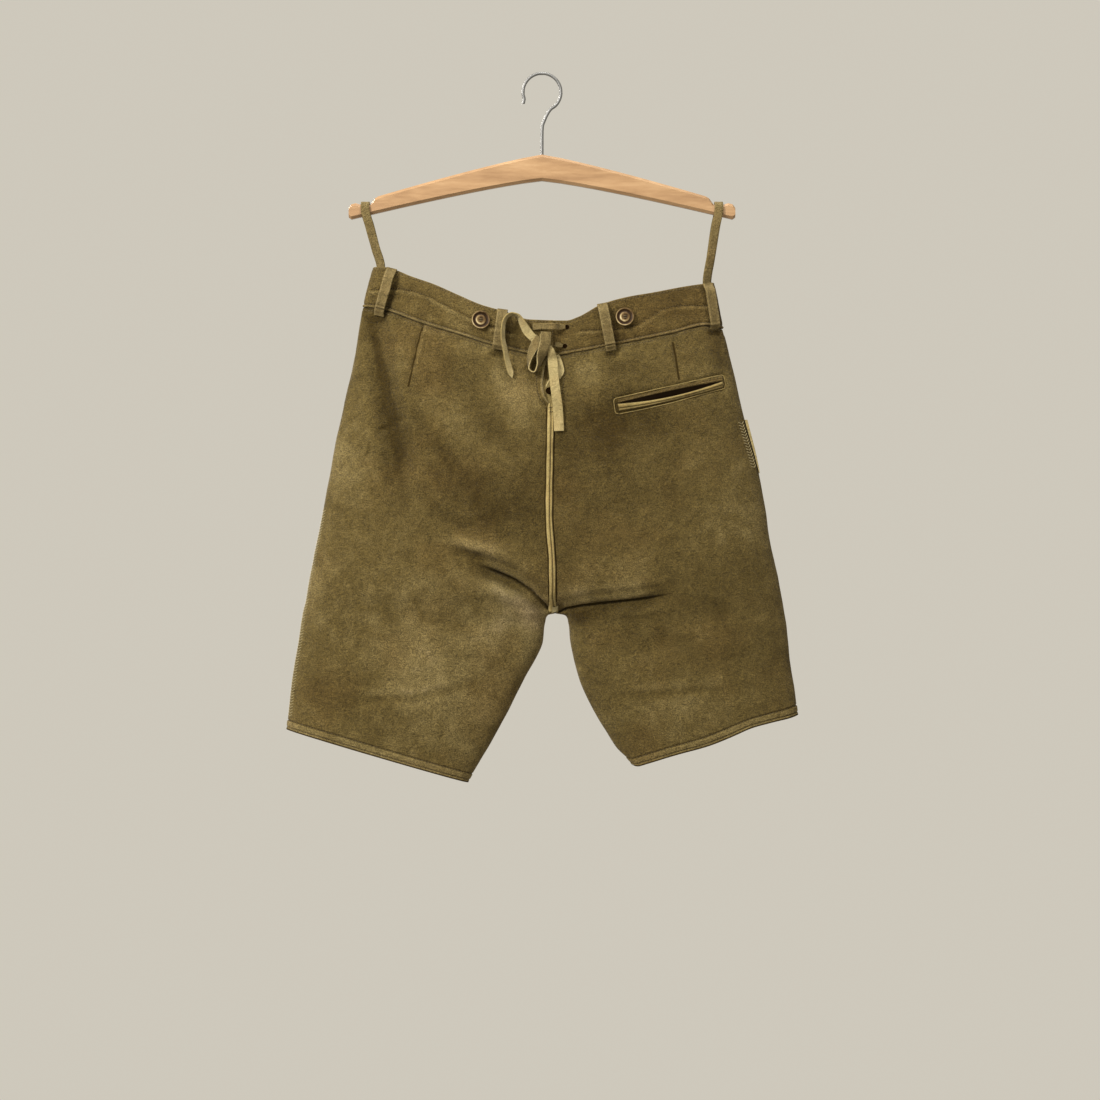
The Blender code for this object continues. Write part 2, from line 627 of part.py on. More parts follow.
def lace(name, route, finish):
    """A flat lace through its passes, with square ends."""
    over = np.array([spot(BACK, at.x, at.drop)[0] - np.array([0.0, at.lift, 0.0]) for at in route])
    places = np.arange(len(route), dtype=float)
    fine = np.linspace(0, len(route) - 1, 2 * len(route) - 1)
    middle = np.stack([monotone(places, over[:, axis], fine) for axis in range(3)], axis=-1)
    widths = monotone(places, [at.width for at in route], fine)
    turns = np.radians(monotone(places, [at.turn for at in route], fine))
    rings = []
    for i, (point, width, turn) in enumerate(zip(middle, widths, turns)):
        run = unit(middle[min(i + 1, len(middle) - 1)] - middle[max(i - 1, 0)])
        flat = unit(np.cross(run, [0.0, -1.0, 0.0]))
        side = unit(flat * math.cos(turn) + np.array([0.0, -1.0, 0.0]) * math.sin(turn))
        side = unit(side - run * side.dot(run))
        half_side, out = side * width / 2, np.cross(side, run) * LACE_THICK
        rings.append([point - half_side, point + half_side, point + half_side + out, point - half_side + out])
    return prism(name, rings, finish, smooth=False)


def lace_knot():
    """The knot: a short fat wrap across the centre, under the bow."""
    rings = []
    for x in np.linspace(KNOT_FROM_X, KNOT_TO_X, 6):
        base = spot(BACK, x, KNOT_DROP)[0]
        round_off = 0.7 + 0.3 * math.sin(math.pi * (x - KNOT_FROM_X) / (KNOT_TO_X - KNOT_FROM_X))
        ring = []
        for angle in np.linspace(0, 2 * math.pi, 10, endpoint=False):
            away = KNOT_LIFT + KNOT_THICK / 2 * (1 - round_off * math.cos(angle))
            ring.append(base + np.array([0.0, -away, KNOT_HALF * round_off * math.sin(angle)]))
        rings.append(ring)
    return prism("lace_knot", rings, leather())


def lacing():
    lace("lace_run_upper", LACE_RUN_UPPER, leather())
    lace("lace_run_lower", LACE_RUN_LOWER, leather())
    lace_knot()
    lace("lace_bow", BOW, leather())
    lace("lace_bow_ear", BOW_EAR, pale_leather())
    lace("lace_end_left", LACE_END_LEFT, pale_leather())
    lace("lace_end_right", LACE_END_RIGHT, pale_leather())


def pocket():
    """Welts above and below the slit, and the bag behind it."""
    a, b = np.array(SLIT_LEFT), np.array(SLIT_RIGHT)
    run = unit(b - a)
    down = np.array([-run[1], run[0]])
    count = 12
    for name, width, side in (("welt_upper", WELT_UPPER, -1.0), ("welt_lower", WELT_LOWER, 1.0)):
        near, far = [], []
        for i in range(count + 1):
            t = i / count
            sag = SLIT_OPEN / 2 * math.sin(math.pi * t) ** 0.8 + 0.35
            on_line = a + (b - a) * t
            edge = on_line + down * side * sag
            far_edge = on_line + down * side * (sag + width)
            rows = []
            for x, drop in (edge, (edge + far_edge) / 2, far_edge):
                point, out = spot(BACK, x, drop)
                rows.append((point + out * 0.45, point + out * (0.45 + WELT_THICK)))
            near.append([lower for lower, upper in rows])
            far.append([upper for lower, upper in rows])
        wall(name, np.array(far), np.array(near), leather())
    patch("pocket_bag", BACK, [(92, 368), (203, 341), (206, 352 + BAG_DEPTH), (95, 382 + BAG_DEPTH)], 7, 5,
          -LEATHER - 1.7, 1.2, leather(), sag=-BAG_SAG)


def slit_cutter():
    """A lens-shaped block through the right back panel at the slit."""
    a, b = np.array(SLIT_LEFT), np.array(SLIT_RIGHT)
    run = unit(b - a)
    down = np.array([-run[1], run[0]])
    outline = []
    for side in (1.0, -1.0):
        for i in range(13):
            t = i / 12 if side > 0 else 1 - i / 12
            open_by = SLIT_OPEN / 2 * math.sin(math.pi * t) ** 0.8
            if open_by < 1e-6 and side < 0:
                continue
            outline.append(a + (b - a) * t + down * side * open_by)
    rings = [[(x, y, -drop) for x, drop in outline] for y in (-60.0, -4.0)]
    cutter = prism("slit_cutter", rings, leather(), smooth=False)
    cutter.hide_render = True
    cutter.display_type = "WIRE"
    return cutter


def knife_pocket_edge():
    """The bound edge of the narrow pocket in the right side seam."""
    centres, sides, outs = [], [], []
    for drop in np.linspace(397, 458, 8):
        row = float(np.interp(drop, column("right_drop", np.arange(LAST_ROW + 1)), np.arange(LAST_ROW + 1)))
        x = float(column("right_x", row))
        rise = 2.0 * math.sin(math.pi * (drop - 397) / 61)
        centres.append(np.array([x + 0.4 + rise, -3.0, -drop]))
        sides.append(np.array([0.0, 1.0, 0.0]))
        outs.append(np.array([1.0, 0.0, 0.0]))
    return strip("knife_pocket_edge", centres, sides, outs, 16.0, 2.0, pale_leather())


# ------------------------------------------------------------------ hanging loops and hanger


def arm_line(x):
    return ARM_TOP_MID + (ARM_TOP_END - ARM_TOP_MID) * min(abs(x) / ARM_END_X, 1.0) ** 1.15


def arm_top(x):
    """Drop of the hanger's top edge, with a notch for each hanging loop."""
    notch = ease((12.0 - abs(abs(x) - HANG_X)) / 4.0)
    return arm_line(x) * (1 - notch) + (arm_line(HANG_X) + NOTCH) * notch


def hanger_body():
    ends = [192, 197, 209, 214, 219, 222]
    places = [-x for x in reversed(ends)] + list(np.linspace(-188, 188, 19)) + ends
    rings = []
    for x in places:
        share = min(abs(x) / ARM_END_X, 1.0)
        foot = arm_line(x) + ARM_HIGH_MID + (ARM_HIGH_END - ARM_HIGH_MID) * share
        top = float(arm_top(x))
        if abs(x) > 221:
            top, foot = top + 3.0, foot - 3.0
        deep, soft = ARM_THICK / 2, 3.0
        rings.append([
            (x, -deep, -top - soft), (x, -deep + soft, -top),
            (x, deep - soft, -top), (x, deep, -top - soft),
            (x, deep, -foot + soft), (x, deep - soft, -foot),
            (x, -deep + soft, -foot), (x, -deep, -foot + soft),
        ])
    return prism("hanger_body", rings, wood())


def hook():
    """The wire hook: a stem out of the wood, and a crook whose inside top is the origin."""
    reach = HOOK_RADIUS + HOOK_WIRE
    centre = -HOOK_RADIUS
    points = [(0.0, 0.0, -ARM_TOP_MID + 0.35), (0.0, 0.0, -72.0), (0.4, 0.0, -60.0), (3.4, 0.0, -51.0)]
    for i in range(19):
        angle = math.radians(-62 + 262 * i / 18)
        points.append((reach * math.cos(angle), 0.0, centre + reach * math.sin(angle)))
    points.append((-reach * 0.99, 0.0, centre - 13.0))
    curve = bpy.data.curves.new("hanger_hook", "CURVE")
    curve.dimensions = "3D"
    curve.bevel_depth = HOOK_WIRE * MM
    curve.bevel_resolution = 2
    curve.use_fill_caps = True
    spline = curve.splines.new("POLY")
    spline.points.add(len(points) - 1)
    for node, point in zip(spline.points, points):
        node.co = (*(c * MM for c in point), 1.0)
    curve.materials.append(steel())
    made = bpy.data.objects.new("hanger_hook", curve)
    bpy.context.scene.collection.objects.link(made)
    return made


def hanging_loop(half):
    """A leather loop: sewn inside the back band, up over the hanger's arm, and down to the front band."""
    toward = 1.0 if half == LEFT else -1.0
    u = 0.17
    ends = {}
    for face in (BACK, FRONT):
        low, high = (
            band_outer(half, face, u, height)
            + normals(band_outer, half, face, np.array(u), np.array(height), 0.05)
            * (BAND_PROUD - BAND - HANG_THICK - 2.2)
            for height in (0.55, 1.0)
        )
        out = normals(band_outer, half, face, np.array(u), np.array(0.8), 0.05)
        ends[face] = (low, high, out)
    over = np.array([-toward * HANG_X, 0.0, -float(arm_top(HANG_X))])
    clear_y = ARM_THICK / 2 + 0.9
    below_arm = over + np.array([0.0, 0.0, -ARM_HIGH_END - 8.0])
    strand = {}
    for face in (BACK, FRONT):
        low, high, _ = ends[face]
        beside = below_arm + np.array([0.0, SIGN[face] * (clear_y + 0.4), 0.0])
        strand[face] = [low, high, (high + beside) / 2, beside]
    arch = []
    for angle in np.linspace(0, math.pi, 7):
        rise = -5.0 + 7.0 * math.sin(angle)
        arch.append(over + np.array([0.0, -clear_y * math.cos(angle), rise]))
    path = np.array(strand[BACK] + arch + strand[FRONT][::-1])
    count = len(path)
    rings = []
    for i, point in enumerate(path):
        run = unit(path[min(i + 1, count - 1)] - path[max(i - 1, 0)])
        sewn = ends[BACK if i < count / 2 else FRONT][2]
        turn = float(ease((min(i, count - 1 - i) - 1) / 2))
        out = unit(sewn * (1 - turn) + unit(np.cross([1.0, 0.0, 0.0], run)) * turn)
        side = unit(np.cross(run, out))
        out = unit(np.cross(side, run)) * HANG_THICK
        half_side = side * HANG_WIDTH / 2
        rings.append([point - half_side, point + half_side, point + half_side + out, point - half_side + out])
    return prism(f"hanging_loop_{half}", rings, leather(), smooth=False)


# ------------------------------------------------------------------ build


def clear_scene():
    for thing in list(bpy.data.objects):
        bpy.data.objects.remove(thing)


def build():
    clear_scene()
    for half in (LEFT, RIGHT):
        for face in (BACK, FRONT):
            made = panel(half, face)
            waistband(half, face)
            if (half, face) == (RIGHT, BACK):
                slit = made.modifiers.new("pocket slit", "BOOLEAN")
                slit.operation = "DIFFERENCE"
                slit.object = slit_cutter()
    seam_strip()
    vent_gusset()
    front_flap()
    pocket()
    knife_pocket_edge()
    for loop in BELT_LOOPS:
        belt_loop(loop)
    for spec in BUTTONS:
        button(spec)
    lacing()
    for half in (LEFT, RIGHT):
        hanging_loop(half)
    hanger_body()
    hook()


build()
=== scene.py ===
# %% [markdown]
# # Short leather trousers on a clothes hanger
#
# The real garment is cut from nubuck, a leather with a short brushed nap, about 2 mm thick. Two halves
# are sewn down the middle of the back, a waistband is sewn on top, and a lace at the back draws it in.
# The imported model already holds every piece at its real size. This lesson keeps its form and gives
# each piece the look of the real one: thin rounded edges, creases, seams, thread and a worn surface.
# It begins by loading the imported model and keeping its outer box, because the dressed model has to
# keep that size.

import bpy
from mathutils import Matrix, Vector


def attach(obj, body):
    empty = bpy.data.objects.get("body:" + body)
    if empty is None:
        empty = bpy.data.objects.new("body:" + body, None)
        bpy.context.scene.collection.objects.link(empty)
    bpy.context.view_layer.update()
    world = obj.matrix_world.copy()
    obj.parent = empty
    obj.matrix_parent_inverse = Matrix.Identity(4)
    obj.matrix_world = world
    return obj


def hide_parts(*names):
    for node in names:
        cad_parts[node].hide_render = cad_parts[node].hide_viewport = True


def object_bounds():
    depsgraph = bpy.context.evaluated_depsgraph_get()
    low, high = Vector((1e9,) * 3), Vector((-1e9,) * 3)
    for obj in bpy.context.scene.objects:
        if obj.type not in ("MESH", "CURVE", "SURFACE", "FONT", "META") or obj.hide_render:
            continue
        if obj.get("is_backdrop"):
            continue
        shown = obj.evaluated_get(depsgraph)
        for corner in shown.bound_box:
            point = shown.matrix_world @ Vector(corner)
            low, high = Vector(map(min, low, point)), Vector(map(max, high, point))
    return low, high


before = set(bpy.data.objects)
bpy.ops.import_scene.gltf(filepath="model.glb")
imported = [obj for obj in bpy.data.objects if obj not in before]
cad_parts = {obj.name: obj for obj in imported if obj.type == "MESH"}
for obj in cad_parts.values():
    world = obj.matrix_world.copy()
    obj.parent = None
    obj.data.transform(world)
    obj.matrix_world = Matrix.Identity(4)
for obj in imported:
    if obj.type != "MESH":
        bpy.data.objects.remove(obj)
cad_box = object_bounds()
print("pieces in the packed model:", len(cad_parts))

# %% Tools
import math
from collections import namedtuple

import bmesh
import bpy
import numpy as np
from mathutils import Vector, noise
from mathutils.bvhtree import BVHTree

MM = 0.001
LEFT, RIGHT = "left", "right"
BACK, FRONT = "back", "front"
SIGN = {BACK: -1.0, FRONT: 1.0}          # the way out along Y
TOWARD = {LEFT: 1.0, RIGHT: -1.0}        # the way along X from the side seam to the middle

# %% [markdown]
# ## Camera
#
# The trousers hang and are looked at squarely from behind, from a few steps away, so that near and far
# edges are almost the same size. A wide lens close by would make the seat bulge. A long lens at 3.2 m
# keeps the shape true. All lengths in the tables below are millimetres, and a "drop" is a depth below
# the inside top of the hanger's hook.

# %% Camera
CAMERA_AWAY = 3.2            # metres behind the garment
PICTURE_WIDTH = 1.265        # metres across the whole picture, at the garment
MIDDLE_X, MIDDLE_DROP = 9.2, 546.3
SENSOR = 36.0

camera = bpy.data.objects.new("camera", bpy.data.cameras.new("camera"))
camera.data.sensor_width = SENSOR
camera.data.lens = SENSOR * CAMERA_AWAY / PICTURE_WIDTH
camera.location = (MIDDLE_X * MM, -CAMERA_AWAY, -MIDDLE_DROP * MM)
camera.rotation_euler = (math.radians(90), 0, 0)
bpy.context.scene.collection.objects.link(camera)
bpy.context.scene.camera = camera
print(f"lens {camera.data.lens:.1f} mm")

# %% [markdown]
# ## Curves and sections
#
# A pair of trousers is a tube that splits into two. It could be modelled by hand from a cylinder, or
# blown up from flat panels by a cloth simulation. Here it hangs from two loops and the leather is too
# stiff to drape much, so sections are more exact: each row of the table says where the two sides and
# the inner edges are, and how deep the tube is there. The smooth curve through the rows never
# overshoots, which keeps seams from waving.

# %% A smooth curve through values


def flowing(knots, values, at):
    """A smooth curve through the values that never overshoots between two of them."""
    knots, values = np.asarray(knots, float), np.asarray(values, float)
    step = np.diff(knots)
    slope = np.diff(values) / step
    tangent = np.zeros(len(knots))
    for i in range(1, len(knots) - 1):
        if slope[i - 1] * slope[i] > 0:
            before, after = 2 * step[i] + step[i - 1], step[i] + 2 * step[i - 1]
            tangent[i] = (before + after) / (before / slope[i - 1] + after / slope[i])
    tangent[0], tangent[-1] = slope[0], slope[-1]
    at = np.clip(np.asarray(at, float), knots[0], knots[-1])
    cell = np.clip(np.searchsorted(knots, at, side="right") - 1, 0, len(step) - 1)
    t = (at - knots[cell]) / step[cell]
    return (
        values[cell] * (1 + 2 * t) * (1 - t) ** 2
        + values[cell + 1] * t * t * (3 - 2 * t)
        + step[cell] * t * (1 - t) * (tangent[cell] * (1 - t) - tangent[cell + 1] * t)
    )


def ease(t):
    t = np.clip(t, 0.0, 1.0)
    return t * t * (3 - 2 * t)


def hump(value, at, half_width):
    """1 at one value, falling smoothly to nothing on both sides of it."""
    return np.exp(-(((value - at) / half_width) ** 2))


def unit(vectors):
    vectors = np.asarray(vectors, float)
    return vectors / np.maximum(np.linalg.norm(vectors, axis=-1, keepdims=True), 1e-12)


def apart(first, second):
    return np.linalg.norm(first - second, axis=-1)


def turns(count):
    """Even angles of a whole turn."""
    return np.linspace(0, 2 * math.pi, count, endpoint=False)


def run_of(path):
    """How far each point of a path lies from the first one, along the path."""
    path = np.asarray(path, float)
    return np.concatenate([[0.0], np.cumsum(apart(path[1:], path[:-1]))])


def at_distance(values, run, distance):
    """The values that go with a path's points, at a distance along it."""
    return np.stack([np.interp(distance, run, part) for part in values.T], axis=-1)


# %% Sections of the tube
Section = namedtuple(
    "Section",
    "rows left_x left_drop right_x right_drop inner_left inner_right"
    " inner_left_drop inner_right_drop back front wrap",
)
SECTIONS = [
    Section(3, -206, 267, 208, 292, 10, 10, 324, 324, 24, 20, 0.50),       # waist seam
    Section(4, -216, 328, 218, 334, 10, 10, 380, 380, 34, 23, 0.50),       # foot of the vent
    Section(4, -232, 397, 233, 397, 8.5, 8.5, 443, 443, 40, 26, 0.50),     # upper hip
    Section(4, -245, 466, 251, 466, 8.5, 8.5, 506, 506, 43, 28, 0.50),     # seat
    Section(4, -258, 535, 262, 535, 11.5, 11.5, 563, 563, 41, 28, 0.54),   # low seat
    Section(2, -267, 581, 272, 581, 14.5, 14.5, 600, 600, 37, 27, 0.72),   # under the seat
    Section(1, -271, 604, 276, 604, 15, 15, 619.5, 619.5, 33, 26, 1.00),   # crotch
    Section(2, -274, 617, 278, 617, 4, 30, 629, 629, 31, 26, 1.00),        # top of the gap
    Section(2, -277, 634, 281, 634, 1, 32.5, 651, 651, 30, 26, 1.00),      # inner thigh
    Section(3, -284, 676, 286, 676, -22, 44, 698, 698, 28, 25, 1.00),      # middle of the leg
    Section(3, -290, 719, 291, 711, -54, 75, 760, 757, 26, 24, 1.00),      # lower leg
    Section(0, -293, 752, 294, 733, -85, 103, 813, 797, 24, 23, 1.00),     # hem
]
ROWS = np.cumsum([0] + [section.rows for section in SECTIONS[:-1]])
LAST_ROW, CROTCH_ROW = int(ROWS[-1]), int(ROWS[6])
FRONT_DIP = 9.0              # the front waist hangs lower than the back one
SEAM_GAP = 0.06
FULLNESS = 0.75              # 1 is an ellipse; less makes the section fuller


def column(name, row):
    return flowing(ROWS, [getattr(section, name) for section in SECTIONS], row)


def notched(half, row):
    """How far the inner edge moves aside to give the notch between the legs a flat top."""
    past = np.clip(np.asarray(row, float) - CROTCH_ROW, 0.0, 1.0)
    return column(f"inner_{half}", row + past**0.2 - past) - column(f"inner_{half}", row)


# %% The waist seam and the top edge of the band
SEAM_LINE = [
    (-206, 267), (-190, 269), (-175, 273), (-137, 287), (-91, 301), (-57, 312), (-15, 322), (10, 325),
    (24, 323), (78, 313), (150, 298), (189, 289), (208, 292),
]
TOP_LINE = [
    (-194, 221), (-179, 222), (-166, 226), (-152, 232), (-124, 242), (-97, 254), (-69, 266), (-41, 274),
    (-14, 283), (12, 284), (28, 284), (41, 280), (69, 265), (97, 257), (125, 252), (166, 244), (198, 239),
]
BAND, BAND_PROUD = 2.6, 0.6  # two layers of leather, and how far they stand out from the panels
LAP = 3.4                    # the left end of the band is lifted by this over the right one
LAP_LEFT_X, LAP_RIGHT_X = 12.6, 3.0
LAP_FROM_X, LAP_RISE = -22.0, 16.0
LEATHER, HEM_TURN = 2.0, 1.5


def line_drop(line, x):
    return flowing([place[0] for place in line], [place[1] for place in line], x)


# %% [markdown]
# ## Folds
#
# Leather hangs in a few broad folds and keeps sharp creases where the wearer sat. A noise texture would
# scatter them evenly, which looks like crumpled paper. Here each one is a route over the cloth, with a
# half width, a depth (a ridge has a negative one) and the share of the depth that its two ends keep.
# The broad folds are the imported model's own. The fine ones are laid over them.

# %% Broad folds
Fold = namedtuple("Fold", "half_width depth start end route")
BROAD_FOLDS = {
    BACK: [
        Fold(13, 8, 0.8, 0.0, [(-197, 268), (-190, 311), (-184, 345), (-178, 385), (-166, 430),
                               (-158, 489), (-154, 525)]),
        Fold(18, 5, 0.0, 0.2, [(-160, 375), (-125, 417), (-94, 460), (-52, 505), (-33, 540)]),
        Fold(18, 4, 0.0, 0.0, [(-125, 325), (-79, 365), (-48, 417), (-29, 434), (-10, 465)]),
        Fold(9, -5, 0.0, 0.4, [(-112, 532), (-85, 536), (-63, 543), (-38, 553), (-20, 566)]),
        Fold(10, 10.5, 0.0, 0.8, [(-86, 557), (-62, 567), (-41, 578), (-20, 590), (-6, 599), (6, 616)]),
        Fold(9, 7.5, 0.7, 0.0, [(22, 615), (46, 609), (77, 606), (113, 603), (133, 599), (165, 595)]),
        Fold(20, 4, 0.3, 0.0, [(24, 408), (86, 400), (162, 388)]),
        Fold(18, 4, 0.2, 0.0, [(20, 400), (24, 466), (36, 525)]),
    ],
    FRONT: [
        Fold(12, 8, 0.0, 0.8, [(-100, 572), (-60, 580), (-25, 592), (5, 614)]),
        Fold(12, 8, 0.8, 0.0, [(25, 613), (60, 596), (100, 586), (130, 584)]),
        Fold(20, 4, 0.0, 0.0, [(-165, 330), (-130, 400), (-70, 500)]),
        Fold(20, 4, 0.0, 0.0, [(170, 345), (140, 420), (95, 510)]),
    ],
}


FADING = 0.35                # the share of a route over which it fades at each end


def fold_depth(folds, x, drop):
    """How far folds push the cloth in at a place seen squarely."""
    total = np.zeros(np.broadcast(x, drop).shape)
    for fold in folds:
        route = np.array(fold.route, float)
        lengths = apart(route[1:], route[:-1])
        ends = run_of(route) / lengths.sum()
        nearest, place = np.full(total.shape, 1e9), np.zeros(total.shape)
        for i, (a, b) in enumerate(zip(route[:-1], route[1:])):
            along = ((x - a[0]) * (b[0] - a[0]) + (drop - a[1]) * (b[1] - a[1])) / lengths[i] ** 2
            along = np.clip(along, 0.0, 1.0)
            away = np.hypot(x - a[0] - along * (b[0] - a[0]), drop - a[1] - along * (b[1] - a[1]))
            place = np.where(away < nearest, ends[i] + along * (ends[i + 1] - ends[i]), place)
            nearest = np.minimum(nearest, away)
        across = np.clip(1 - (nearest / (2 * fold.half_width)) ** 2, 0.0, 1.0) ** 2
        first = fold.start + (1 - fold.start) * ease(place / FADING)
        last = fold.end + (1 - fold.end) * ease((1 - place) / FADING)
        total = total + fold.depth * across * (first * last)
    return total


# %% Fine creases, and the stitched frame of the pocket
POCKET_FRAME = [
    (81.8, 377.0), (82.4, 374.6), (84.6, 373.2), (145, 359.8), (205.5, 345.9), (208, 347), (210, 357.4),
    (208.6, 361.6), (178, 370.0), (148, 378.6), (118, 385.2), (89, 391.2), (84.6, 390.6), (83.2, 388),
    (81.8, 377.0),
]
FINE_CREASES = {
    BACK: [
        Fold(1.3, 1.7, 1.0, 1.0, POCKET_FRAME),
        Fold(1.3, 3.8, 0.0, 1.0, [(-78, 561), (-52, 571), (-31, 580), (-12, 593), (7, 613)]),
        Fold(3.4, -2.6, 0.0, 0.6, [(-76, 555.5), (-48, 566), (-27, 576), (-9, 588.5), (5, 604)]),
        Fold(1.05, 3.6, 1.0, 0.0, [(19, 617), (28, 613), (48, 609), (76, 606), (106, 602.5), (134, 599),
                                   (156, 595)]),
        Fold(3.2, -2.3, 0.6, 0.0, [(28, 608), (62, 602), (104, 597.5), (150, 590)]),
        Fold(5.0, -2.2, 0.2, 0.3, [(-110, 534), (-84, 540), (-60, 547), (-42, 555)]),
        Fold(3.5, 1.6, 0.0, 0.0, [(-104, 545), (-80, 551), (-58, 558)]),
        Fold(7.0, -2.4, 0.0, 0.5, [(-80, 580), (-55, 590), (-30, 603), (-12, 616)]),
        Fold(7.0, -0.5, 0.5, 0.0, [(34, 622), (62, 620), (98, 617), (130, 610)]),
        Fold(1.8, 2.0, 0.0, 0.0, [(-193, 416), (-183, 408), (-171, 404), (-158, 402)]),
        Fold(1.6, 1.6, 0.0, 0.0, [(-178, 401), (-165, 397), (-152, 396)]),
        Fold(1.6, 1.5, 0.0, 0.0, [(-196, 420), (-197, 432), (-202, 443)]),
        Fold(4.0, 1.0, 0.0, 0.3, [(-249, 715), (-200, 718), (-144, 717), (-74, 699), (-47, 691)]),
        Fold(4.0, -0.8, 0.0, 0.3, [(-240, 707), (-196, 709), (-146, 708), (-84, 692)]),
        Fold(4.0, 0.9, 0.3, 0.0, [(58, 714), (95, 716), (136, 711), (182, 707), (236, 705)]),
        Fold(5.0, -0.8, 0.0, 0.0, [(70, 704), (120, 702), (190, 697)]),
        Fold(8.0, 1.6, 0.3, 0.0, [(42, 630), (46, 662), (60, 700)]),
        Fold(9.0, 1.5, 0.3, 0.0, [(-20, 625), (-36, 655), (-50, 690)]),
        Fold(6.0, 1.2, 0.0, 0.0, [(-150, 462), (-128, 486), (-112, 515)]),
        Fold(7.0, 1.2, 0.0, 0.0, [(-120, 500), (-92, 520), (-70, 531)]),
        Fold(5.0, 1.0, 0.0, 0.2, [(-24, 318), (-14, 335), (-8, 352)]),
        Fold(6.0, 1.4, 0.5, 0.0, [(30, 328), (34, 345), (31, 366)]),
        Fold(8.0, 1.5, 0.2, 0.0, [(196, 302), (204, 330), (214, 352)]),
        Fold(6.0, 1.0, 0.0, 0.0, [(110, 640), (150, 652), (200, 650)]),
        Fold(6.0, 1.0, 0.0, 0.0, [(-150, 620), (-110, 632), (-74, 634)]),
        Fold(1.7, 2.0, 0.8, 0.2, [(-136, 289), (-141, 308), (-146.5, 333), (-152.4, 361)]),
        Fold(2.6, -1.0, 0.8, 0.0, [(-132, 290), (-138, 309), (-143.5, 333), (-149.5, 358)]),
        Fold(1.6, 1.6, 0.8, 0.1, [(149.5, 308), (153, 328), (156, 353)]),
        Fold(5.0, 1.1, 0.0, 0.0, [(-96, 796), (-120, 784), (-150, 777)]),
    ],
    FRONT: [
        Fold(1.8, 3.0, 0.0, 0.9, [(-92, 576), (-58, 583), (-26, 595), (0, 611)]),
        Fold(1.8, 3.0, 0.9, 0.0, [(28, 611), (62, 598), (98, 588)]),
        Fold(3.4, -2.0, 0.0, 0.6, [(-88, 570.5), (-55, 577), (-24, 588), (0, 603)]),
        Fold(3.4, -2.0, 0.6, 0.0, [(28, 604), (60, 592), (96, 582)]),
        Fold(5.0, 1.8, 0.0, 0.0, [(-150, 360), (-118, 400), (-96, 450)]),
        Fold(5.0, 1.6, 0.0, 0.0, [(160, 372), (128, 412), (110, 462)]),
        Fold(3.6, 1.8, 0.3, 0.0, [(-60, 470), (-96, 492), (-140, 500)]),
        Fold(3.6, 1.8, 0.3, 0.0, [(86, 472), (120, 496), (166, 508)]),
        Fold(1.8, 2.0, 0.0, 0.0, [(-196, 410), (-180, 402), (-160, 404)]),
        Fold(1.8, 1.8, 0.0, 0.0, [(208, 430), (190, 420), (172, 424)]),
        Fold(6.0, 2.0, 0.0, 0.0, [(-130, 560), (-160, 600), (-180, 650)]),
        Fold(6.0, 2.0, 0.0, 0.0, [(140, 566), (170, 606), (190, 656)]),
        Fold(5.0, 1.2, 0.0, 0.0, [(90, 790), (126, 776), (170, 768)]),
        Fold(7.0, -2.0, 0.0, 0.4, [(-90, 592), (-50, 602), (-15, 616)]),
        Fold(7.0, -2.0, 0.4, 0.0, [(38, 620), (72, 612), (110, 600)]),
        Fold(3.0, 1.0, 0.0, 0.0, [(-205, 470), (-180, 462), (-152, 466)]),
        Fold(3.0, 1.0, 0.0, 0.0, [(150, 480), (176, 474), (206, 482)]),
        Fold(4.0, 1.0, 0.0, 0.2, [(-240, 700), (-180, 706), (-110, 700), (-60, 690)]),
        Fold(4.0, 0.9, 0.2, 0.0, [(66, 700), (120, 706), (180, 702), (236, 694)]),
        Fold(8.0, 1.5, 0.3, 0.0, [(-18, 630), (-34, 660), (-46, 692)]),
        Fold(8.0, 1.5, 0.3, 0.0, [(46, 632), (56, 664), (70, 700)]),
        Fold(9.0, 1.6, 0.3, 0.0, [(-190, 290), (-184, 330), (-188, 370)]),
        Fold(9.0, 1.6, 0.3, 0.0, [(192, 312), (188, 352), (196, 392)]),
    ],
}
print("creases:", {face: len(BROAD_FOLDS[face]) + len(FINE_CREASES[face]) for face in BROAD_FOLDS})

# %% [markdown]
# ## The form of the leather
#
# Each panel is a grid. Across, it runs from the side seam to the inner seam at even steps of the angle
# around the tube, so the grid is finest where the leather turns. Down, it runs from the waist seam to
# the hem. A share of the depth is taken away where a fold lies.

# %% Places of the panels and the band
WAVE_ROW, CORNER_ROW = 28, 30            # the rows where the right hem's wave and its corner begin


def panel_squarely(half, face, share, row):
    side_x, side_drop = column(f"{half}_x", row), column(f"{half}_drop", row)
    inner_x = column(f"inner_{half}", row) - TOWARD[half] * SEAM_GAP / 2
    x = side_x + (inner_x - side_x) * share + notched(half, row) * share**16
    drop = side_drop + (column(f"inner_{half}_drop", row) - side_drop) * share
    top_side, top_inner = column(f"{half}_x", 0), column(f"inner_{half}", 0)
    straight = column(f"{half}_drop", 0)
    straight = straight + (column(f"inner_{half}_drop", 0) - straight) * share
    fade = 1 - ease(row / ROWS[3])
    drop = drop + (line_drop(SEAM_LINE, top_side + (top_inner - top_side) * share) - straight) * fade
    if face == FRONT:
        drop = drop + FRONT_DIP * share * fade
    if half == RIGHT:                                # its hem waves a little, and its inner corner is round
        wave = 2.4 * hump(x, 190, 28) - 1.5 * hump(x, 240, 16) + 2.6 * hump(x, 288, 18)
        corner = 5.0 * np.clip(1 - (x - inner_x) / 10.0, 0, 1) ** 2
        drop = drop + wave * ease((row - WAVE_ROW) / (LAST_ROW - WAVE_ROW))
        drop = drop - corner * ease((row - CORNER_ROW) / (LAST_ROW - CORNER_ROW))
    return x, drop


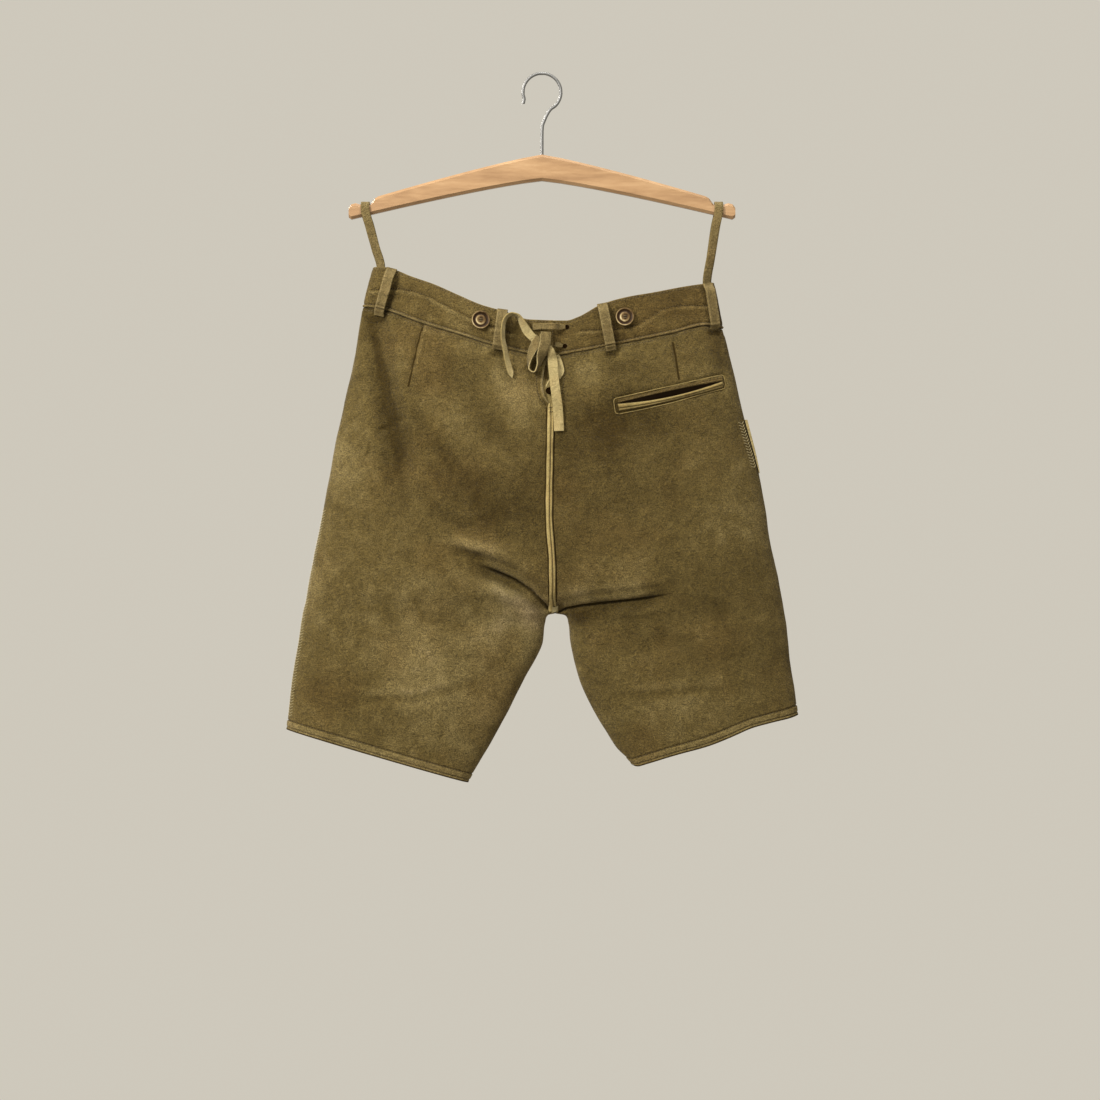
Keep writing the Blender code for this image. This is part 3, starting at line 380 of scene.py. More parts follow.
def with_depth(face, x, drop, angle, depth):
    bulge = np.clip(np.sin(angle), 0.0, 1.0)
    deep = SEAM_GAP / 2 + depth * bulge**FULLNESS
    deep = deep - fold_depth(BROAD_FOLDS[face], x, drop) * np.clip(bulge / 0.5, 0.0, 1.0)
    return np.stack([x, SIGN[face] * deep, -drop], axis=-1)


def panel_form(half, face, u, row):
    widest = math.pi * np.clip(column("wrap", row), 0.5, 1.0)
    x, drop = panel_squarely(half, face, (1 - np.cos(u * widest)) / (1 - np.cos(widest)), row)
    return with_depth(face, x, drop, u * widest, column(face, row))


def band_form(half, face, u, height):
    low = column(f"{half}_x", 0)
    high = TOP_LINE[0][0] if half == LEFT else TOP_LINE[-1][0]
    end = column(f"inner_{half}", 0) - TOWARD[half] * SEAM_GAP / 2
    if face == BACK:
        end = LAP_LEFT_X if half == LEFT else LAP_RIGHT_X
    share = 1 - np.cos(u * math.pi / 2)
    side_x = low + (high - low) * height
    seam = line_drop(SEAM_LINE, low + (end - low) * share) - SEAM_GAP
    top = line_drop(TOP_LINE, high + (end - high) * share)
    if face == FRONT:
        seam = seam + FRONT_DIP * share
        top = top + (FRONT_DIP + 3.0) * share + 1.0
    x, drop = side_x + (end - side_x) * share, seam + (top - seam) * height
    points = with_depth(face, x, drop, u * math.pi / 2, column(face, 0) - 2.0 * height)
    if face == BACK and half == LEFT:
        points[..., 1] -= LAP * ease((x - LAP_FROM_X) / LAP_RISE)
    return points


# %% [markdown]
# ## Meshes
#
# Every cloth piece is a closed shell: the outer grid, the same grid moved in by the thickness, and a rim
# between them. Blender's Solidify modifier could make it, but its corners are square. Here the two
# faces draw together within the last millimetre before the edge, as pressed leather does.

# %% Meshes from grids


def add_mesh(name, vertices, faces, finishes, slots=None, worn=None, sharp=55):
    """A smooth mesh object from points in millimetres, with the wear and painted shading at each point."""
    mesh = bpy.data.meshes.new(name)
    mesh.from_pydata((np.asarray(vertices, float) * MM).tolist(), [], faces)
    for finish in finishes:
        mesh.materials.append(finish)
    if slots is not None:
        mesh.polygons.foreach_set("material_index", slots)
    if worn is not None:
        layer = mesh.attributes.new("worn", "FLOAT", "POINT")
        layer.data.foreach_set("value", np.asarray(worn, np.float32).ravel())
    mesh.shade_smooth()
    mesh.set_sharp_from_angle(angle=math.radians(sharp))
    made = bpy.data.objects.new(name, mesh)
    bpy.context.scene.collection.objects.link(made)
    return made


def turn_out(made):
    """Turns a closed mesh's faces to point out."""
    shape = bmesh.new()
    shape.from_mesh(made.data)
    bmesh.ops.recalc_face_normals(shape, faces=shape.faces[:])
    if shape.calc_volume(signed=True) < 0:
        bmesh.ops.reverse_faces(shape, faces=shape.faces[:])
    shape.to_mesh(made.data)
    shape.free()
    return made


def grid_faces(rows, columns, start=0):
    at = start + np.arange(rows * columns).reshape(rows, columns)
    quads = [at[:-1, :-1], at[:-1, 1:], at[1:, 1:], at[1:, :-1]]
    return np.stack([corner.ravel() for corner in quads], axis=-1).tolist()


def tube_faces(rings, sides):
    """Faces of a closed tube through rings of points, with its two ends."""
    count = rings * sides
    faces = [tuple(range(sides)), tuple(range(count - 1, count - 1 - sides, -1))]
    for start in range(0, count - sides, sides):
        for i in range(sides):
            a, b = start + i, start + (i + 1) % sides
            faces.append((a, a + sides, b + sides, b))
    return faces


def grid_rim(rows, columns):
    at = np.arange(rows * columns).reshape(rows, columns)
    return [*at[0], *at[1:, -1], *at[-1, -2::-1], *at[-2:0:-1, 0]]


def outward(grid, face):
    """Unit directions out of a grid that is part of the back or of the front."""
    out = unit(np.cross(np.gradient(grid, axis=1), np.gradient(grid, axis=0)))
    middle = out[:, out.shape[1] // 3:][..., 1].mean()
    return out if middle * SIGN[face] > 0 else -out


def from_edge(grid):
    """How far each point lies from the grid's nearest edge, along the surface."""
    near = np.full(grid.shape[:2], np.inf)
    for axis in (0, 1):
        steps = np.linalg.norm(np.diff(grid, axis=axis), axis=-1)
        first = np.zeros_like(steps.take([0], axis=axis))
        run = np.concatenate([first, np.cumsum(steps, axis=axis)], axis=axis)
        near = np.minimum(near, np.minimum(run, run.take([-1], axis=axis) - run))
    return near


EDGE_DRAWN, EDGE_REACH = 0.36, 0.6       # of the thickness: how far an edge is drawn in, from how far away
INNER_WORN = 0.3                         # the share of the wear and painted shading that the hidden face shows


def shell(name, grid, out, thick, finishes, worn=None):
    """A closed thin wall from an outer grid, with drawn-in edges; the rim takes the last finish."""
    rows, columns = grid.shape[:2]
    thick = np.broadcast_to(thick, (rows, columns))[..., None]
    near = 1 - np.clip(from_edge(grid) / (EDGE_REACH * thick[..., 0]), 0, 1)
    drawn = EDGE_DRAWN * thick * near[..., None] ** 2
    outer, inner = grid - out * drawn, grid - out * (thick - drawn)
    count = rows * columns
    faces = grid_faces(rows, columns) + [quad[::-1] for quad in grid_faces(rows, columns, count)]
    walls = len(faces)
    rim = grid_rim(rows, columns)
    faces += [(b, a, count + a, count + b) for a, b in zip(rim, rim[1:] + rim[:1])]
    slots = [0] * walls + [len(finishes) - 1] * (len(faces) - walls)
    worn = np.zeros((rows, columns)) if worn is None else worn
    vertices = np.concatenate([outer.reshape(-1, 3), inner.reshape(-1, 3)])
    made = add_mesh(name, vertices, faces, finishes, slots, np.concatenate([worn, worn * INNER_WORN]))
    return turn_out(made)


def dress(piece, slot, *nodes):
    """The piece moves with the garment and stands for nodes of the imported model."""
    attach(piece, "root")
    if nodes:
        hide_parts(*nodes)
    return piece


# %% [markdown]
# ## Finishes
#
# Nubuck is matt and never one colour: the nap lies different ways, and ridges and edges are rubbed pale.
# Hollows are painted dark here, as shade. An image of leather would show its repeats and lose its scale.
# Noise at three sizes gives clouds a hand wide, blotches a finger wide and the nap itself, and the
# worn value that each mesh carries puts the rubbed places, the painted shade and the
# painted light where they belong. A small class lets the maths be written as ordinary expressions.

# %% Shader maths


class Wire:
    """A value of a material. Ordinary operators on it add Math nodes."""

    def __init__(self, finish, socket):
        self.finish, self.socket = finish, socket

    def maths(self, operation, first, second=0.0):
        return self.finish.node("ShaderNodeMath", {"operation": operation}, {0: first, 1: second})

    def __add__(self, other):
        return self.maths("ADD", self, other)

    def __sub__(self, other):
        return self.maths("SUBTRACT", self, other)

    def __rsub__(self, other):
        return self.maths("SUBTRACT", other, self)

    def __mul__(self, other):
        return self.maths("MULTIPLY", self, other)

    __radd__, __rmul__ = __add__, __mul__

    def limited(self):
        return self.maths("MINIMUM", self.maths("MAXIMUM", self, 0.0), 1.0)


def socket_name(key):
    return key.replace("_", " ").title().replace("Ior", "IOR")


class Finish:
    """A material whose Principled shader is fed by named nodes."""

    def __init__(self, name, **constants):
        self.material = bpy.data.materials.new(name)
        self.material.use_nodes = True
        self.tree = self.material.node_tree
        self.shader = self.tree.nodes["Principled BSDF"]
        for key, value in constants.items():
            self.shader.inputs[socket_name(key)].default_value = value
        self.place = self.node("ShaderNodeTexCoord", output="Object")

    def node(self, kind, settings=None, values=None, output=0):
        made = self.tree.nodes.new(kind)
        for key, value in (settings or {}).items():
            if key == "stops":
                for i, (at, colour) in enumerate(value):
                    stop = made.color_ramp.elements[i] if i < 2 else made.color_ramp.elements.new(at)
                    stop.position, stop.color = at, (*colour, 1.0)
            else:
                setattr(made, key, value)
        for key, value in (values or {}).items():
            self.plug(made.inputs[key], value)
        return Wire(self, made.outputs[output])

    def plug(self, socket, value):
        if isinstance(value, Wire):
            self.tree.links.new(value.socket, socket)
        elif socket.type == "RGBA":
            socket.default_value = (*value, 1.0)
        else:
            socket.default_value = value

    def noise(self, scale, detail=3.0, roughness=0.5, stretch=None, distortion=0.0):
        at = self.place
        if stretch:
            at = self.node("ShaderNodeMapping", values={"Vector": at, "Scale": stretch})
        values = {"Vector": at, "Scale": scale, "Detail": detail, "Roughness": roughness}
        return self.node("ShaderNodeTexNoise", values={**values, "Distortion": distortion})

    def ramp(self, value, *stops):
        return self.node("ShaderNodeValToRGB", {"stops": stops}, {0: value})

    def mix(self, share, first, second, blend="MIX"):
        settings = {"data_type": "RGBA", "blend_type": blend}
        return self.node("ShaderNodeMix", settings, {0: share, 6: first, 7: second}, output=2)

    def attribute(self, name):
        return self.node("ShaderNodeAttribute", {"attribute_name": name}, output="Fac")

    def bump(self, height, distance, strength=1.0, over=None):
        values = {"Height": height, "Distance": distance, "Strength": strength}
        if over is not None:
            values["Normal"] = over
        return self.node("ShaderNodeBump", values=values)

    def wear(self, **sockets):
        for key, value in sockets.items():
            self.plug(self.shader.inputs[socket_name(key)], value)
        return self.material


# %% [markdown]
# The nubuck is one recipe with four colours: deep, middle, light, and the palest one that rubbed places
# and painted light take. The panels, the straps and the lace are cut from lots that differ a little, so
# the recipe is a function of its colours. Sheen gives the pale haze of a nap seen at a flat angle.

# %% Nubuck


def nubuck(name, deep, middle, light, rubbed_and_painted_light, cloud=5.0, nap=1.0, speckle=0.82, red_right=0.0):
    """Brushed leather. cloud is how many colour clouds fit in a metre, nap how deep the brushing is,
    speckle how strong the fine spots are, and red_right how much warmer it grows to the right."""
    finish = Finish(name, sheen_weight=0.04, sheen_roughness=0.4, specular_ior_level=0.12)
    clouds = finish.noise(cloud, 4.0, 0.55, distortion=0.4)
    blotches = finish.noise(cloud * 7, 5.0, 0.62, distortion=0.6)
    brushed = finish.noise(120.0, 4.0, 0.65, stretch=(1.0, 1.0, 0.75), distortion=0.8)
    pores = finish.noise(360.0, 4.0, 0.74, stretch=(0.62, 0.8, 1.0), distortion=1.2)
    grain = finish.noise(900.0, 1.0, 0.6)
    worn = finish.attribute("worn")
    tone = clouds * 0.40 + blotches * 0.36 + brushed * 0.16 + pores * 0.08 + worn * 0.42
    colour = finish.ramp(tone, (0.22, deep), (0.50, middle), (0.68, light), (0.92, rubbed_and_painted_light))
    to_right = finish.node("ShaderNodeSeparateXYZ", values={0: finish.place}) * (4.0 * red_right)
    warmth = (finish.noise(cloud * 2.3, 3.0, 0.6) * 5.0 - 2.3 + to_right).limited()
    colour = finish.mix(warmth * 0.32, colour, (1.09, 0.94, 0.84), "MULTIPLY")
    speck = (pores * 0.26 + grain * 0.64 + brushed * 0.10 - 0.5) * 4.4 + 0.5
    spots = finish.ramp(speck.limited(), (0.0, (0.22,) * 3), (1.0, (0.78,) * 3))
    colour = finish.mix(speckle, colour, spots, "OVERLAY")
    normal = finish.bump(pores * 0.7 + grain * 0.3, 0.0044 * nap, 0.9)
    normal = finish.bump(brushed, 0.0030 * nap, 0.6, over=normal)
    wrinkles = finish.noise(46.0, 5.0, 0.62, stretch=(0.8, 0.9, 1.1), distortion=0.9)
    normal = finish.bump(wrinkles, 0.006 * nap, 0.5, over=normal)
    return finish.wear(base_color=colour, roughness=0.97 - 0.10 * worn.limited(), normal=normal)


PANEL_LEATHER = nubuck(
    "panel nubuck",
    (0.0324, 0.0207, 0.0033), (0.0847, 0.0601, 0.0179), (0.1457, 0.1095, 0.0416), (0.2282, 0.1774, 0.0902),
)
BAND_LEATHER = nubuck(
    "band nubuck",
    (0.0326, 0.0207, 0.0042), (0.0808, 0.0556, 0.0158), (0.1252, 0.0914, 0.032), (0.1958, 0.151, 0.0692),
    cloud=8.0, red_right=1.8,
)
STRAP_LEATHER = nubuck(
    "strap nubuck",
    (0.0475, 0.0336, 0.0119), (0.1022, 0.0749, 0.029), (0.1476, 0.1106, 0.0455), (0.1944, 0.1505, 0.0693),
    cloud=18.0, nap=0.7, speckle=0.5,
)
CUT_EDGE = nubuck(
    "cut edge",
    (0.04, 0.0283, 0.0089), (0.088, 0.0636, 0.0215), (0.14, 0.1036, 0.0392), (0.192, 0.1476, 0.0629),
    cloud=40.0, nap=0.5,
)
PALE_LEATHER = nubuck(
    "pale split leather",
    (0.1398, 0.1068, 0.044), (0.2372, 0.1887, 0.0847), (0.3049, 0.2488, 0.1202), (0.3642, 0.3056, 0.1652),
    cloud=25.0, nap=0.6, speckle=0.25,
)
PIPING_LEATHER = nubuck(
    "piping leather",
    (0.0926, 0.0664, 0.0231), (0.1851, 0.1394, 0.0519), (0.2582, 0.1992, 0.0786), (0.3215, 0.2579, 0.1157),
    cloud=30.0, nap=0.5, speckle=0.3,
)
print("nubucks:", [m.name for m in bpy.data.materials if "nubuck" in m.name])

# %% Thread, furrows and holes


def plain(name, colour, roughness, scale, shades=(0.78, 1.18), **constants):
    """One colour that varies a little from place to place."""
    finish = Finish(name, **constants)
    dark, pale = [[min(c * shade, 1.0) for c in colour] for shade in shades]
    mottle = finish.noise(scale, 3.0, 0.6)
    normal = finish.bump(mottle, 0.00025, 0.6)
    return finish.wear(base_color=finish.mix(mottle, dark, pale), roughness=roughness, normal=normal)


SEWING_THREAD = plain("sewing thread", (0.085, 0.062, 0.025), 0.8, 900.0)
EMBROIDERY_THREAD = plain("embroidery thread", (0.245, 0.2, 0.092), 0.8, 900.0, sheen_weight=0.1)
# A dark ribbon painted as the shade in a pressed groove.
GROOVE_SHADE = plain("painted groove shade", (0.022, 0.014, 0.004), 0.95, 500.0, specular_ior_level=0.03)
# A dark disc painted as the shade inside a hole.
HOLE_SHADE = plain("painted hole shade", (0.006, 0.003, 0.001), 1.0, 500.0, specular_ior_level=0.0)
# The pocket's lining, darkened to paint the shade inside the pocket.
LINING_IN_PAINTED_SHADE = plain("lining in painted shade", (0.030, 0.018, 0.009), 0.95, 300.0, specular_ior_level=0.05)

# %% [markdown]
# ## Panels
#
# A panel needs fine rows where it is sewn or turned: at the waist seam and at the hem. The rows there
# are laid at set distances from the edge in millimetres. The rest is spread between, closest where
# the crotch's creases are. The hem's turned leather stands out a little, and its seam is pressed in
# as a groove.

# %% Spots of rubbed wear, and of light and shade painted over folds and creases: x, drop, radius, amount
WEAR_AND_PAINTED_LIGHT_SPOTS = {
    BACK: [
        (-26, 628, 40, 0.50), (-6, 614, 22, 0.60), (-66, 415, 55, 0.22), (-228, 450, 40, 0.35),
        (-150, 690, 55, 0.22), (-60, 565, 30, 0.25), (60, 575, 45, 0.18), (150, 470, 45, 0.08),
        (-120, 760, 60, 0.15), (40, 655, 30, 0.14), (110, 690, 50, 0.10), (-14, 365, 34, 0.30),
        (48, 352, 22, 0.22), (-16, 470, 55, -0.20), (70, 395, 60, -0.34), (190, 585, 60, -0.16),
        (-160, 420, 30, -0.18), (-228, 720, 42, -0.22), (170, 655, 60, -0.12), (-90, 470, 40, -0.14),
        (70, 470, 50, -0.14), (-90, 470, 70, -0.10), (-130, 660, 80, 0.14), (66, 636, 16, 0.20),
        (150, 700, 40, 0.12), (222, 420, 30, -0.10), (-95, 330, 40, -0.10), (96, 640, 45, -0.16),
        (62, 624, 20, -0.26), (104, 622, 16, -0.16), (-66, 580, 24, -0.18), (-60, 528, 20, -0.16),
        (147, 398, 20, -0.18), (-156, 373, 18, -0.18), (-156, 500, 18, -0.14), (185, 645, 24, 0.16),
        (44, 599, 14, 0.32), (58, 362, 22, 0.16), (-18, 600, 12, 0.14), (-120, 650, 30, -0.08),
        (40, 626, 13, -0.34), (40, 335, 22, 0.16), (84, 305, 22, 0.14), (-222, 385, 22, 0.14),
        (-156, 355, 16, -0.12), (147, 322, 18, -0.12), (160, 655, 16, 0.18), (-80, 534, 20, -0.14),
    ],
    FRONT: [
        (-110, 640, 60, 0.30), (130, 640, 60, 0.26), (0, 500, 60, 0.18), (-150, 420, 60, -0.18),
        (150, 440, 60, -0.18), (-220, 700, 60, -0.14), (220, 690, 60, -0.12), (20, 600, 36, 0.30),
    ],
}

PAINTED_FOLD_SHADING = {                # long light and shade painted along folds: half width, darker by, the two ends, route
    BACK: [
        Fold(4.5, 0.36, 0.7, 0.0, [(-197, 280), (-188, 318), (-180, 351), (-172, 391), (-164, 440),
                                   (-160, 490)]),
        Fold(9.0, 0.24, 0.3, 0.0, [(-137, 305), (-94, 351), (-54, 408), (-8, 460)]),
        Fold(7.0, 0.22, 0.0, 0.2, [(-160, 356), (-129, 411), (-106, 443), (-84, 470)]),
        Fold(6.0, -0.18, 0.0, 0.0, [(-207, 300), (-198, 360), (-190, 420)]),
        Fold(9.0, -0.16, 0.0, 0.0, [(-64, 325), (-42, 360), (-20, 400)]),
        Fold(7.0, -0.12, 0.0, 0.0, [(-168, 330), (-150, 372), (-126, 400)]),
        Fold(8.0, 0.14, 0.0, 0.0, [(60, 332), (100, 338), (140, 330)]),
        Fold(7.0, 0.32, 1.0, 0.0, [(28, 624), (56, 620), (90, 616), (126, 612)]),
        Fold(7.0, -0.24, 0.8, 0.0, [(28, 601), (60, 595), (96, 591), (134, 585)]),
        Fold(9.0, 0.12, 0.0, 0.0, [(120, 430), (150, 480), (166, 540)]),
        Fold(9.0, 0.12, 0.0, 0.0, [(-190, 560), (-176, 620), (-170, 680)]),
    ],
    FRONT: [
        Fold(8.0, 0.2, 0.0, 0.0, [(-190, 300), (-176, 370), (-150, 450)]),
        Fold(8.0, 0.2, 0.0, 0.0, [(186, 320), (170, 390), (146, 460)]),
        Fold(9.0, -0.14, 0.0, 0.0, [(-120, 500), (-100, 560), (-110, 640)]),
        Fold(9.0, -0.14, 0.0, 0.0, [(120, 500), (112, 560), (126, 640)]),
    ],
}


# Light and shade painted along folds, plus the spots of rubbed wear and of painted light and shade.
def rubbed_and_painted_light(face, x, drop):
    total = -fold_depth(PAINTED_FOLD_SHADING[face], x, drop)
    for spot_x, spot_drop, radius, amount in WEAR_AND_PAINTED_LIGHT_SPOTS[face]:
        total = total + amount * np.exp(-((x - spot_x) ** 2 + (drop - spot_drop) ** 2) / radius**2)
    return total


BELT_LOOPS = {
    "belt_loop_side_left": (BACK, (-171.2, 223.6), (-186, 278)),
    "belt_loop_back_left": (BACK, (-44.7, 271.3), (-51, 318)),
    "belt_loop_back_right": (BACK, (68.6, 264.6), (79, 319)),
    "belt_loop_side_right": (BACK, (189.2, 240.4), (197, 293)),
    "belt_loop_front_left": (FRONT, (-105, 261), (-108, 306)),
    "belt_loop_front_right": (FRONT, (125, 260), (128, 311)),
}


def painted_loop_shadow(face, x, drop):
    """A shadow painted dark to the right of and under each belt loop."""
    folds = []
    for side, (top_x, top), (foot_x, foot) in BELT_LOOPS.values():
        if side == face:
            route = [(top_x + 8, top + 5), (foot_x + 8, foot - 1), (foot_x + 5, foot + 4.6),
                     (foot_x - 5, foot + 4)]
            folds.append(Fold(1.9, 0.75, 0.3, 1.0, route))
    return fold_depth(folds, x, drop)


def uneven(grid, size):
    """Slow unevenness of a grid, from -1 to 1."""
    flat = [noise.noise(Vector(point) / size) for point in grid.reshape(-1, 3)]
    return np.array(flat).reshape(grid.shape[:2])


# %% Rows of a grid
Cloth = namedtuple("Cloth", "grid out worn thick top_seam low_seam hem_edge")
FAR = 99.0                              # stands for any distance from an edge that is too long to matter


def shares_across(near, first, columns):
    """Shares of the way across a grid, close together at both ends."""
    near = np.array(near)
    return np.concatenate([near, np.linspace(first, 1 - first, columns), 1 - near[::-1]])[None, :]


def edge_distances(shape, from_start, from_end):
    """How far each place of a grid lies from its first row and from its last one."""
    after, before = np.full(shape, FAR), np.full(shape, FAR)
    after[:len(from_start)] = np.array(from_start)[:, None]
    before[-len(from_end):] = np.array(from_end)[:, None]
    return after, before


# %% One panel's grid
TOP_SEAM = 3.6                          # the stitches under the band, from the panel's top edge
HEM_SEAM, HEM_EDGE = 11.0, 3.4          # the hem's two rows of stitches, from its edge
FROM_TOP = [0, 0.5, 1.1, 2.0, 2.8, TOP_SEAM, 4.4, 5.6, 7.5]
FROM_HEM = [
    26, 22, 18, 15, 13.4, 12.4, 11.6, HEM_SEAM, 10.4, 9.4, 8, 6.4, 5.4, 4.6, 4.0, HEM_EDGE, 2.8, 2.2, 1.5,
    0.5, 0,
]
TOP_STEP, HEM_STEP = 0.2, 0.3           # in rows of the table, to measure how fast they pass
CREASED = 0.59                          # the share of the way down where the crotch's creases are
VENT_TOP, VENT_FOOT = 318.0, 380.0
VENT_OPENS = {LEFT: 9.0, RIGHT: 3.0}    # how far each of its edges is pulled aside
VENT_STITCHES = 5.2                     # from those edges


def opened_vent(half, x, drop):
    """How far the edge of the vent is pulled aside at a place, and how far the place lies from it."""
    share = np.clip((drop - VENT_TOP) / (VENT_FOOT - VENT_TOP), 0, 1)
    opened = np.sin(math.pi * share**1.5).clip(0) ** 0.6 * VENT_OPENS[half]
    return opened, np.abs(x - column(f"inner_{half}", 0))


def cut_panel(half, face, columns, rows):
    u = shares_across([0, 0.0015, 0.004, 0.008, 0.013], 0.02, columns)

    def at(row):
        return panel_form(half, face, u, u * 0 + row)

    first = np.array(FROM_TOP)[:, None] / apart(at(TOP_STEP), at(0)) * TOP_STEP
    last = LAST_ROW - np.array(FROM_HEM)[:, None] / apart(at(LAST_ROW), at(LAST_ROW - HEM_STEP)) * HEM_STEP
    even = np.linspace(0, 1, 400)
    pace = np.cumsum(1 + 1.6 * hump(even, CREASED, 0.09))
    share = np.interp(np.linspace(pace[0], pace[-1], rows), pace, even)[1:-1, None]
    row = np.concatenate([first, first[-1:] + (last[:1] - first[-1:]) * share, last])
    grid = panel_form(half, face, np.broadcast_to(u, row.shape), row)
    below, above = edge_distances(row.shape, FROM_TOP, FROM_HEM)

    x, drop, out = grid[..., 0], -grid[..., 2], outward(grid, face)
    squarely = out[..., 1] * SIGN[face]
    creases = fold_depth(FINE_CREASES[face], x, drop) * np.clip(squarely / 0.25, 0, 1)
    broad = np.clip(fold_depth(BROAD_FOLDS[face], x, drop), -4, 9) * np.clip(squarely / 0.6, 0, 1)
    waves = uneven(grid, 46.0) * 0.9 + uneven(grid, 17.0) * 0.3          # a hand and a finger wide
    gathers = 0.5 * np.sin(x / 3.1 + 2.0 * np.sin(x / 17.0)) * hump(below.clip(6), 6, 9.0)
    seams = 0.35 * hump(below, TOP_SEAM, 0.8) + 1.1 * hump(above, HEM_SEAM, 0.65) + hump(above, HEM_EDGE, 0.6)
    tucked, turned = 0.9 * hump(below, 0, 1.5), ease((HEM_SEAM + 0.4 - above) / 1.5)
    push = waves + gathers * (below < 12) - creases - seams + 0.7 * turned - tucked

    # Painted shade: darker in creases, broad folds and seams, at the top edge tucked under the band, along
    # the hem's lower edge and beside the belt loops; bulges are painted paler as light. Edges are rubbed
    # pale, and the turned hem is paler.
    worn = 0.16 * (waves - creases) - 0.55 * seams + rubbed_and_painted_light(face, x, drop)
    worn = worn + 0.5 * np.exp(-from_edge(grid) / 1.2) + 0.06 * turned - 0.045 * broad - tucked
    worn = worn + 0.26 * ease((HEM_SEAM - 0.2 - above) / 1.5) - 1.1 * hump(above, 0, 0.9)
    worn = worn - painted_loop_shadow(face, x, drop)
    if face == BACK:
        opened, away = opened_vent(half, x, drop)
        rim, stitched = np.clip(opened / 3.0, 0, 1), hump(away, VENT_STITCHES, 0.9)
        push = push + rim * (0.9 * hump(away, 1.5, 2.0) - 0.6 * stitched)
        # The vent's opened edge is paler, and its line of stitches is painted darker as shade.
        worn = worn + rim * (0.45 * hump(away, 0, 2.4) - 0.5 * stitched)
    grid = grid + out * push[..., None]
    if face == BACK:
        grid[..., 0] -= TOWARD[half] * opened * hump(away, 0, 16.0)
        grid[..., 1] -= 0.22 * opened * hump(away, 0, 9.0)
    thick = LEATHER + HEM_TURN * ease((HEM_SEAM + 0.2 - above) / 1.2)
    hem = len(grid) - len(FROM_HEM)
    return Cloth(grid, out, worn, thick, FROM_TOP.index(TOP_SEAM), hem + FROM_HEM.index(HEM_SEAM),
                 hem + FROM_HEM.index(HEM_EDGE))


GRID_SIZES = {BACK: (118, 238), FRONT: (88, 170)}
cloths, pieces = {}, {}


def cut_out(name, cloth, leather):
    cloths[name] = cloth
    finishes = [leather, CUT_EDGE]
    pieces[name] = shell(f"{name}_leather", cloth.grid, cloth.out, cloth.thick, finishes, cloth.worn)
    print(name, "grid", cloth.grid.shape[:2])


for half in (LEFT, RIGHT):
    for face in (BACK, FRONT):
        cut_out(f"{face}_{half}", cut_panel(half, face, *GRID_SIZES[face]), PANEL_LEATHER)

# %% [markdown]
# ## Waistband
#
# The band is two layers, folded at the top. It is sewn to the panels along its lower edge, and a second
# line of stitches runs under its top edge. The grid again has fine rows at those lines. The left end
# lies over the right one behind the lace.

# %% Waistband
BAND_SEAM, BAND_EDGE = 3.3, 2.3          # its stitches, from its lower edge and from its top edge
FROM_SEAM = [0, 0.5, 1.2, 1.9, 2.6, BAND_SEAM, 4.0, 5.0]
UNDER_EDGE = [4.5, 3.7, 3.0, BAND_EDGE, 1.6, 0.9, 0.3, 0]
BAND_COLUMNS, BAND_ROWS = 96, 18
BAND_ROLL = 1.2                          # its lower edge is thickest at this distance from the edge
MIDDLE_LINES = {
    BACK: [
        [(-196, 248), (-181, 247.2), (-163, 247.3), (-145, 250.5), (-130, 256), (-115, 264), (-92, 276),
         (-60, 291), (-34, 299)],
        [(44, 295.5), (62, 294.9), (80, 294.2), (97, 293), (110, 289), (121, 282.5), (132, 275), (142, 269.6),
         (152, 267), (170, 266.2), (190, 266.2)],
    ],
    FRONT: [
        [(-190, 250), (-165, 249.5), (-145, 252), (-120, 263), (-96, 276)],
        [(108, 291), (122, 284), (136, 276), (150, 270), (166, 268), (190, 267)],
    ],
}


